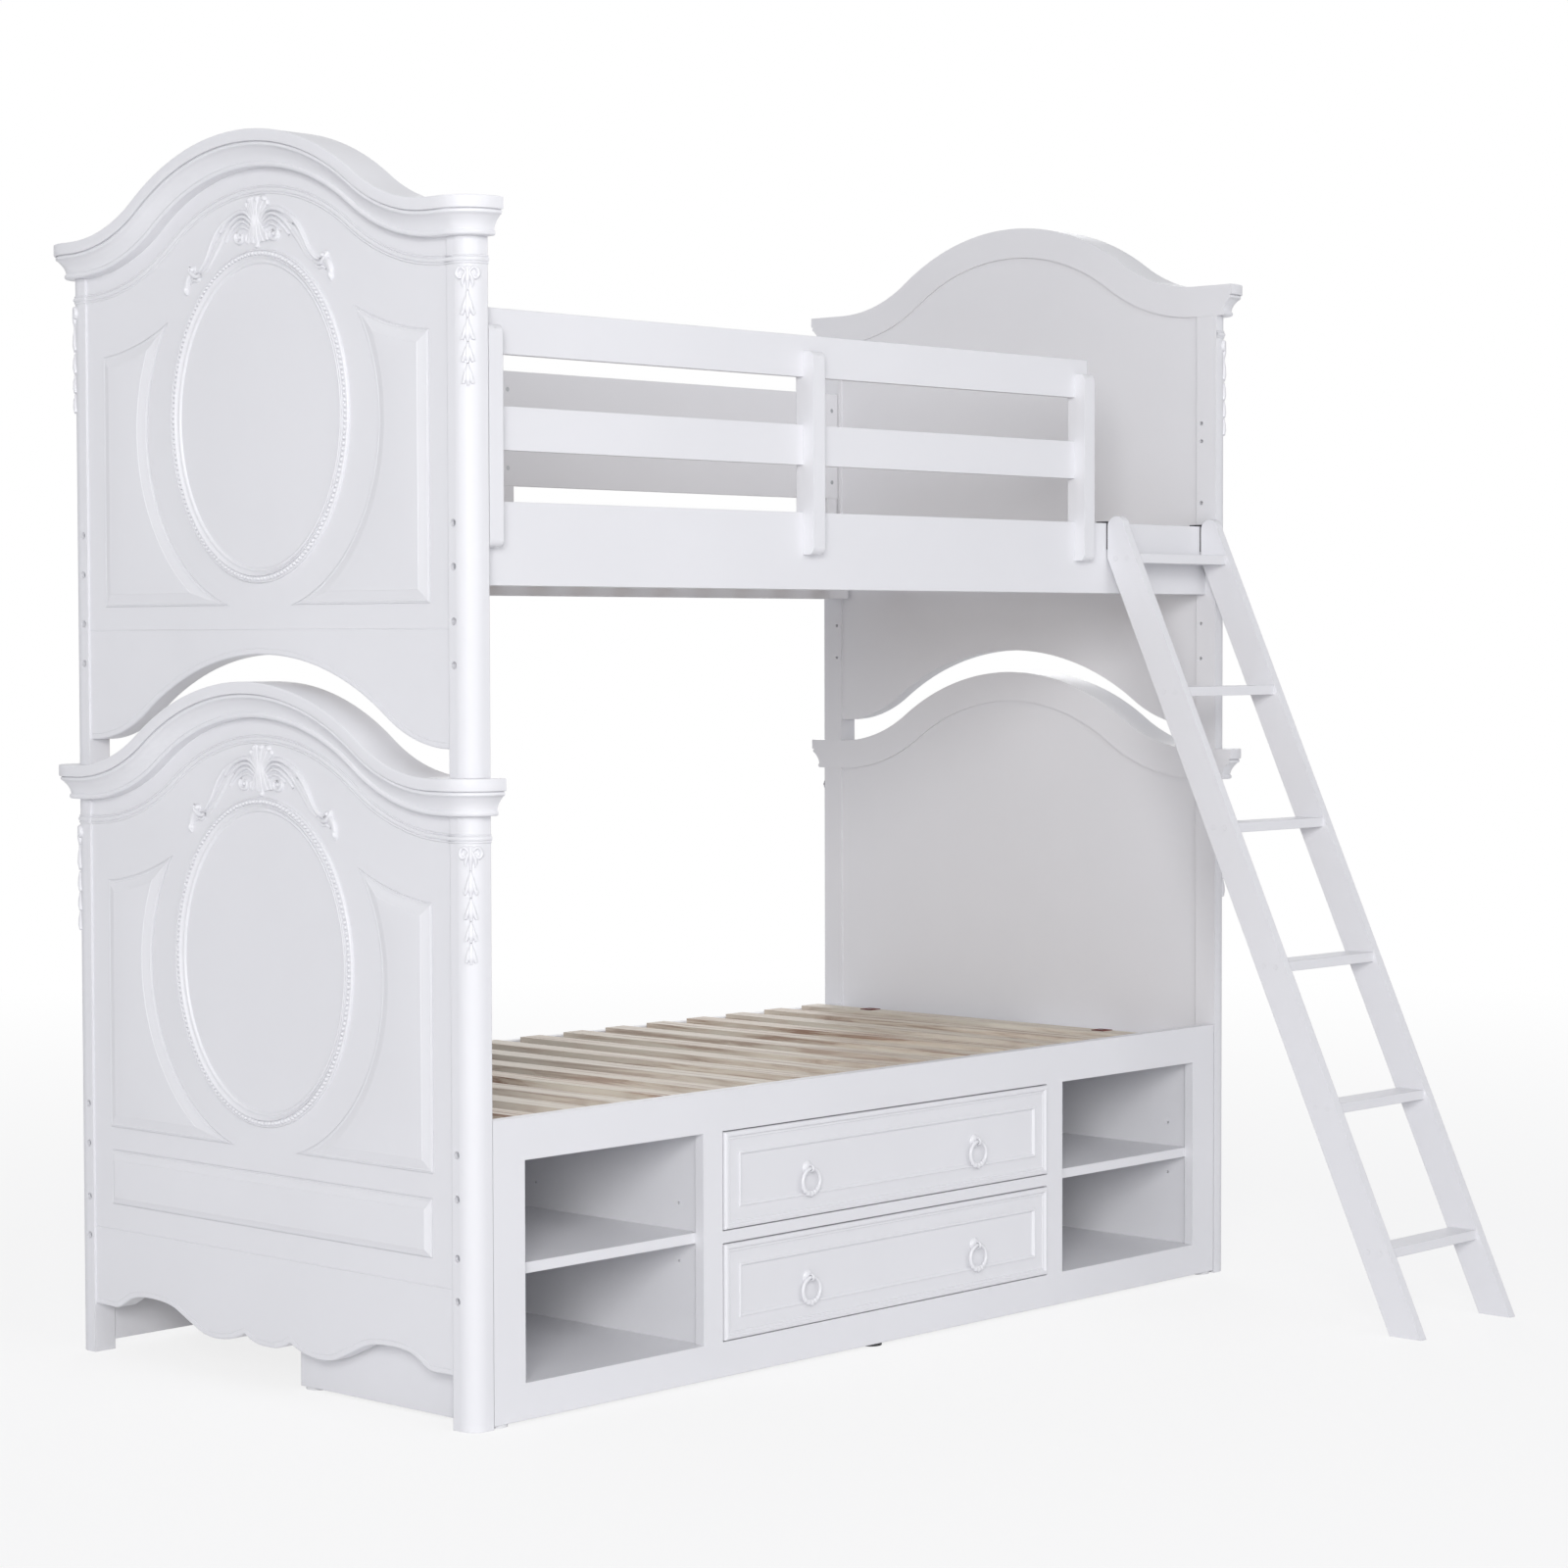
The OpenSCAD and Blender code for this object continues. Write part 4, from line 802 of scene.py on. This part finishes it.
def carve_drop(build, to_point):
    """A bow with four bellflowers under it; lengths down from the crown's tip in millimetres."""
    ridge, boss = partial(stroke, build, to_point), partial(drop, build, to_point)
    boss(0, -112, 6.5, 5.5, 5.0)
    for s in (-1, 1):
        ridge(sided(s, (3, -117), (9, -110), (15, -113), (17, -121), (12, -127), (8, -121)),
              (2.2, 3.0, 3.4, 3.6, 3.2, 2.0), (4.6, 5.6, 6.2, 6.4, 5.6, 4.0), steps=26)
        ridge(sided(s, (2, -116), (6, -126), (8, -134), (7, -141)), (2.6, 3.4, 3.4, 1.6), (5, 6, 5.4, 2.6),
              steps=18)
    ridge([(0, -110), (0, -124), (0, -146)], (3.6, 4.0, 2.0), (6.2, 6.6, 4.0), steps=18)
    for top, bottom, wide in ((-146, -190, 11.0), (-190, -228, 10.2), (-227, -262, 9.4), (-261, -297, 8.8)):
        span = top - bottom
        mouth = bottom + span * 0.20
        boss(0, top - 2.5, 2.6, 3.2, 4.4)
        ridge([(0, top - 2), (0, top - span * 0.40), (0, mouth), (0, bottom + 2)], (2.4, 4.6, 5.0, 2.4),
              (4.4, 6.6, 7.2, 4.6), steps=20, bite=0.12)
        for s in (-1, 1):
            ridge(sided(s, (1.2, top - 5), (3.4, top - span * 0.42), (wide * 0.62, mouth + 3),
                        (wide * 0.88, mouth - 3), (wide * 0.98, mouth + 4)),
                  (1.8, 3.2, 4.0, 3.0, 1.4), (3.8, 5.6, 6.2, 5.4, 3.4), steps=22, bite=0.1)


def on_post(tip, side_x, side_y):
    """Wraps the drop round the rounded corner of a post; the first number runs round the corner."""
    def to_point(u, z, h):
        a = math.pi / 4 + u * MM / POST_ROUND
        r = POST_ROUND + h * MM - CARVED_FROM
        return place(side_x * (X_OUT - POST_ROUND + r * math.cos(a)),
                     side_y * (Y_OUT - POST_ROUND + r * math.sin(a)), tip + z * MM)
    return to_point


drops = Build()
for level in TIPS:
    for side in ENDS.values():
        for side_y in (-1, 1):
            drops.facing = (side, side_y, 0)
            carve_drop(drops, on_post(TIPS[level], side, side_y))
drop_piece = drops.piece("post_drops_carved", WHITE_PAINT, "lacquer", "frame", 60)
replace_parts(drop_piece, "post_drops")

# ---------------------------------------------------------------- ends of the webbing

STRAP_W = 30 * MM
STRAP_LAP = 30 * MM
STRAP_T = 1.5 * MM
STRAP_FOLD = 0.8 * MM
# A staple's place along the lap, the half thickness of its wire and half its length
STAPLE_AT = 0.6
STAPLE_WIRE = 0.6 * MM
STAPLE_HALF = 6 * MM


def strap_ends(node):
    """Each strap is turned up round the outer slats of a deck and stapled down on top of them."""
    lo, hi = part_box(node)
    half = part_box("slat_webbing")[1].y - MID_Y
    straps, staples = Build(), Build()
    for edge, inward in ((lo.x, 1), (hi.x, -1)):
        section = [(0, lo.z - hi.z), (0, 0), (STRAP_LAP, 0), (STRAP_LAP, STRAP_T), (STRAP_FOLD, STRAP_T),
                   (-STRAP_T, 0), (-STRAP_T, lo.z - hi.z)]
        for s in (-1, 1):
            far, near = s * half, s * (half - STRAP_W)
            loop = [(edge + inward * x, hi.z + z) for x, z in section]
            straps.grid([[place(x, y, z) for x, z in loop] for y in (far, near)], close_cols=True)
            for y in (far, near):
                straps.fan([place(x, y, z) for x, z in loop], (0, y - (far + near) / 2, 0))
            wire = STAPLE_WIRE
            x, y, z = edge + inward * STAPLE_AT * STRAP_LAP, (far + near) / 2, hi.z + STRAP_T
            rim = [(x - wire, z), (x - wire, z + wire), (x + wire, z + wire), (x + wire, z)]
            staples.grid([[place(a, y + t * STAPLE_HALF, b) for a, b in rim] for t in (-1, 1)],
                         close_cols=True)
            for t in (-1, 1):
                staples.fan([place(a, y + t * STAPLE_HALF, b) for a, b in rim], (0, t, 0))
    straps.piece(node + "_strap_ends", MATERIALS["webbing"], "webbing", "frame", 30)
    staples.piece(node + "_staples", MATERIALS["steel"], "steel", "frame", 30)


for deck in ("slats_lower", "slats_upper"):
    strap_ends(deck)

# ---------------------------------------------------------------- drawer fronts

FRONT_PROFILE = [(0.0, 20.0), (0.0, 5.0), (0.6, 2.6), (2.2, 0.8), (4.6, 0.0), (7.4, 0.0), (8.0, 0.7),
                 (9.2, 2.7), (11.4, 3.7), (11.8, 3.0), (12.8, 2.8), (13.6, 3.3), (13.9, 4.6), (15.4, 4.8),
                 (36.0, 3.8), (36.3, 2.2), (37.6, 1.4), (39.0, 1.5), (40.2, 2.5), (42.4, 5.4), (42.8, 6.1),
                 (45.0, 6.3)]


def drawer_front(level):
    """Moulded drawer front: a rounded edge, a double step, a sloping frame and a sunk field."""
    node = f"drawer_{level}_front"
    lo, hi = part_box(node)
    build = Build()
    rows = []
    for inset, back in FRONT_PROFILE:
        t, y = inset * MM, lo.y + back * MM
        rows.append([(lo.x + t, y, lo.z + t), (hi.x - t, y, lo.z + t), (hi.x - t, y, hi.z - t),
                     (lo.x + t, y, hi.z - t)])
    build.grid(rows, close_cols=True, facing=(0, -1, 0))
    build.fan(rows[-1], (0, -1, 0))
    build.fan([(x, hi.y, z) for x, _, z in rows[0]], (0, 1, 0))
    piece = build.piece(node + "_moulded", WHITE_PAINT, "lacquer", f"drawer_{level}", 14)
    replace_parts(piece, node)
    return lo.y + FRONT_PROFILE[-1][1] * MM


# ---------------------------------------------------------------- ring pulls

RING_STEPS, ROD_STEPS = 72, 14
RING_ROD, RING_ROD_GAIN = 3.1, 0.6
# Leaves and collars of a ring: place in steps of LEAF_STEP degrees, half width and half length in millimetres
LEAF_STEP = 23
LEAVES = [(-2, 4.8, 4.1), (-1, 5.4, 4.6), (0, 5.7, 4.8), (1, 5.4, 4.6), (2, 4.8, 4.1), (-2.8, 4.3, 1.6),
          (2.8, 4.3, 1.6)]
LUG_R = 5.4 * MM
LUG_THICK = 1.5 * MM
LUG_HALF = 2.9 * MM
# Degrees that the eye of a lug reaches to each side of its stem
LUG_REACH = 150
PLATE_STEPS = 28


def turned(build, profile, centre):
    """A turned boss that stands forward from the drawer: (radius, height) pairs in millimetres."""
    turns = [2 * math.pi * i / PLATE_STEPS for i in range(PLATE_STEPS)]
    rows = [[(centre[0] + r * MM * math.cos(a), centre[1] - h * MM, centre[2] + r * MM * math.sin(a))
             for a in turns] for r, h in profile]
    build.grid(rows, close_cols=True, facing=(0, -1, 0))
    build.fan(rows[-1], (0, -1, 0))


def ring_point(lo, hi, a):
    """A point on the middle line of a hanging ring that fills the box from lo to hi."""
    radius = (hi.z - lo.z - hi.y + lo.y) / 2
    return Vector(((lo.x + hi.x) / 2 + radius * math.cos(a), (lo.y + hi.y) / 2,
                   (lo.z + hi.z) / 2 + radius * math.sin(a)))


def ring_tube(build, lo, hi):
    """The ring itself: slender at the top, fuller towards the leaves."""
    rows = []
    for k in range(RING_STEPS):
        a = 2 * math.pi * k / RING_STEPS
        rod = (RING_ROD + RING_ROD_GAIN * (1 - math.sin(a)) / 2) * MM
        middle, out = ring_point(lo, hi, a), Vector((math.cos(a), 0, math.sin(a)))
        rows.append([tuple(middle + out * (rod * math.cos(b)) + Vector((0, rod * math.sin(b), 0)))
                     for b in (2 * math.pi * i / ROD_STEPS for i in range(ROD_STEPS))])
    build.grid(rows, close_rows=True, close_cols=True)


def leaf(build, centre, a, wide, long):
    """A leaf bead threaded on the ring: its long axis lies along the ring."""
    along = Vector((-math.sin(a), 0, math.cos(a)))
    across = Vector((math.cos(a), 0, math.sin(a)))
    out = Vector((0, 1, 0))
    rows = []
    for ring in range(1, 12):
        lift = math.pi * ring / 12 - math.pi / 2
        size = wide * math.cos(lift)
        rows.append([tuple(centre + along * (long * math.sin(lift)) + across * (size * math.cos(b))
                           + out * (0.8 * size * math.sin(b)))
                     for b in (2 * math.pi * i / 16 for i in range(16))])
    build.grid(rows, close_cols=True)
    build.fan(rows[0], -along)
    build.fan(rows[-1], along)


def pull_ring(level, end):
    """A ring pull with a garland of five leaves and two collars round its lowest third."""
    node = f"pull_{level}_{end}_ring"
    lo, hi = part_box(node)
    build = Build()
    ring_tube(build, lo, hi)
    for k, wide, long in LEAVES:
        a = math.radians(270 + k * LEAF_STEP)
        leaf(build, ring_point(lo, hi, a), a, wide * MM, long * MM)
    ring = build.piece(node.replace("_ring", "_leaf_ring"), MATERIALS["painted_metal"], "painted_metal",
                       f"pull_{level}_{end}", 60)
    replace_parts(ring, node)


def lug(build, x, hinge_y, z):
    """The eye that the ring hangs in: a stem from the plate that closes round the ring's top."""
    rows = []
    for k in range(25):
        a = math.radians(-LUG_REACH + 2 * LUG_REACH * k / 24)
        centre = Vector((x, hinge_y - LUG_R * math.cos(a), z + LUG_R * math.sin(a)))
        out = Vector((0, -math.cos(a), math.sin(a)))
        rows.append([tuple(centre + out * (LUG_THICK * math.cos(b)) + Vector((LUG_HALF * math.sin(b), 0, 0)))
                     for b in (2 * math.pi * i / 12 for i in range(12))])
    build.grid(rows, close_cols=True)
    build.fan(rows[0], (0, 0, -1))
    build.fan(rows[-1], (0, 0, 1))


PLATE_PROFILE = [(12.6, -0.2), (13.2, 0.9), (12.9, 2.1), (12.0, 2.9), (11.4, 2.7), (10.9, 3.2), (9.4, 4.6),
                 (7.4, 5.6), (4.9, 6.2), (2.2, 6.4)]


def pull_plates(level, field_y):
    """Domed back plates with the eyes that the rings hang in."""
    node = f"drawer_{level}_plates"
    lo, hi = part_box(node)
    build = Build()
    for end in ENDS:
        ring_lo, ring_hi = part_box(f"pull_{level}_{end}_ring")
        x = (ring_lo.x + ring_hi.x) / 2
        turned(build, PLATE_PROFILE, (x, field_y, (lo.z + hi.z) / 2))
        lug(build, x, (ring_lo.y + ring_hi.y) / 2, (lo.z + hi.z) / 2)
    piece = build.piece(node + "_turned", MATERIALS["painted_metal"], "painted_metal", f"drawer_{level}", 40)
    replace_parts(piece, node)


for level in ("upper", "lower"):
    field_y = drawer_front(level)
    pull_plates(level, field_y)
    for end in ENDS:
        pull_ring(level, end)

# ---------------------------------------------------------------- floor, light and camera


def link(obj):
    bpy.context.scene.collection.objects.link(obj)
    return obj


# Radius of the floor, and the share of white that the camera sees near the bed and far from it
FLOOR_R = 14.0
FLOOR_NEAR, FLOOR_FAR = 0.8, 1.0
WORLD_LIGHT = (0.95, 0.955, 1.0, 1)
WORLD_STRENGTH = 0.46
# Name, place, target, diameter in metres and power in watts
LAMPS = [
    ("key", (-8.0, MID_Y - 7.1, 3.3), (0, MID_Y, 1.0), 4.0, 550),
    ("front", (-1.2, MID_Y - 7.0, 4.8), (0, MID_Y, 0.6), 4.0, 75),
    ("back", (8.0, MID_Y + 7.2, 3.6), (0, MID_Y, 1.0), 5.0, 200),
]


def floor_material():
    """Pale studio floor: plain for the light, almost white for the camera, with the shadow kept."""
    tree = Tree(bpy.data.materials.new("studio_floor"))
    tree.surface(Base_Color=(0.86, 0.86, 0.87, 1), Roughness=0.9, Specular_IOR_Level=0.1)
    away = tree.add("VectorMath", "Value", tree.add("TexCoord", "Object"), operation="LENGTH")
    fade = tree.add("MapRange", "Result", Value=away, From_Min=2.0, From_Max=7.0, To_Min=FLOOR_NEAR,
                    To_Max=FLOOR_FAR)
    share = tree.calc("MULTIPLY", tree.seen(), fade)
    plain = tree.nodes["Principled BSDF"].outputs["BSDF"]
    both = tree.add("MixShader", "Shader", share, plain, tree.add("Emission", "Emission", Strength=1.0))
    tree.feed(tree.nodes["Material Output"], Surface=both)
    return tree.owner


def floor():
    build = Build()
    turns = [2 * math.pi * i / 96 for i in range(96)]
    rim = [(FLOOR_R * math.cos(a), MID_Y + FLOOR_R * math.sin(a), 0.0) for a in turns]
    build.fan(rim, (0, 0, 1))
    mesh = bpy.data.meshes.new("floor")
    mesh.from_pydata(build.verts, [], build.faces)
    mesh.materials.append(floor_material())
    link(bpy.data.objects.new("floor", mesh))


def world():
    """Even light for the bed, and plain white where the backdrop itself is seen."""
    tree = Tree(bpy.data.worlds.new("studio"))
    bpy.context.scene.world = tree.owner
    light = tree.nodes["Background"]
    tree.feed(light, Color=WORLD_LIGHT, Strength=WORLD_STRENGTH)
    white = tree.add("Background", "Background", Color=(1, 1, 1, 1), Strength=1.0)
    both = tree.add("MixShader", "Shader", tree.seen(), light.outputs["Background"], white)
    tree.feed(tree.nodes["World Output"], Surface=both)


def lamp(name, at, target, size, power):
    data = bpy.data.lights.new(name, "AREA")
    data.shape = "DISK"
    data.size = size
    data.energy = power
    obj = link(bpy.data.objects.new(name, data))
    obj.location = at
    obj.rotation_euler = (Vector(target) - Vector(at)).to_track_quat("-Z", "Y").to_euler()


CAMERA_AT = (-4.8555, MID_Y - 4.7622, 1.2613)
CAMERA_YAW, CAMERA_PITCH, CAMERA_ROLL = -47.1439, 2.2844, -0.1297
CAMERA_LENS = 83.012


def camera():
    yaw, pitch, roll = (math.radians(a) for a in (CAMERA_YAW, CAMERA_PITCH, CAMERA_ROLL))
    ahead = Vector((math.sin(-yaw) * math.cos(pitch), math.cos(-yaw) * math.cos(pitch), -math.sin(pitch)))
    right = Vector((math.cos(-yaw), -math.sin(-yaw), 0))
    up = right.cross(ahead)
    turned_right = right * math.cos(roll) + up * math.sin(roll)
    turned_up = up * math.cos(roll) - right * math.sin(roll)
    data = bpy.data.cameras.new("camera")
    data.lens = CAMERA_LENS
    data.sensor_width = 36.0
    data.clip_end = 60.0
    obj = link(bpy.data.objects.new("camera", data))
    columns = Matrix((turned_right, turned_up, -ahead)).transposed().to_4x4()
    obj.matrix_world = Matrix.Translation(CAMERA_AT) @ columns
    bpy.context.scene.camera = obj


floor()
world()
for settings in LAMPS:
    lamp(*settings)
camera()
bpy.context.scene.view_settings.view_transform = "Standard"
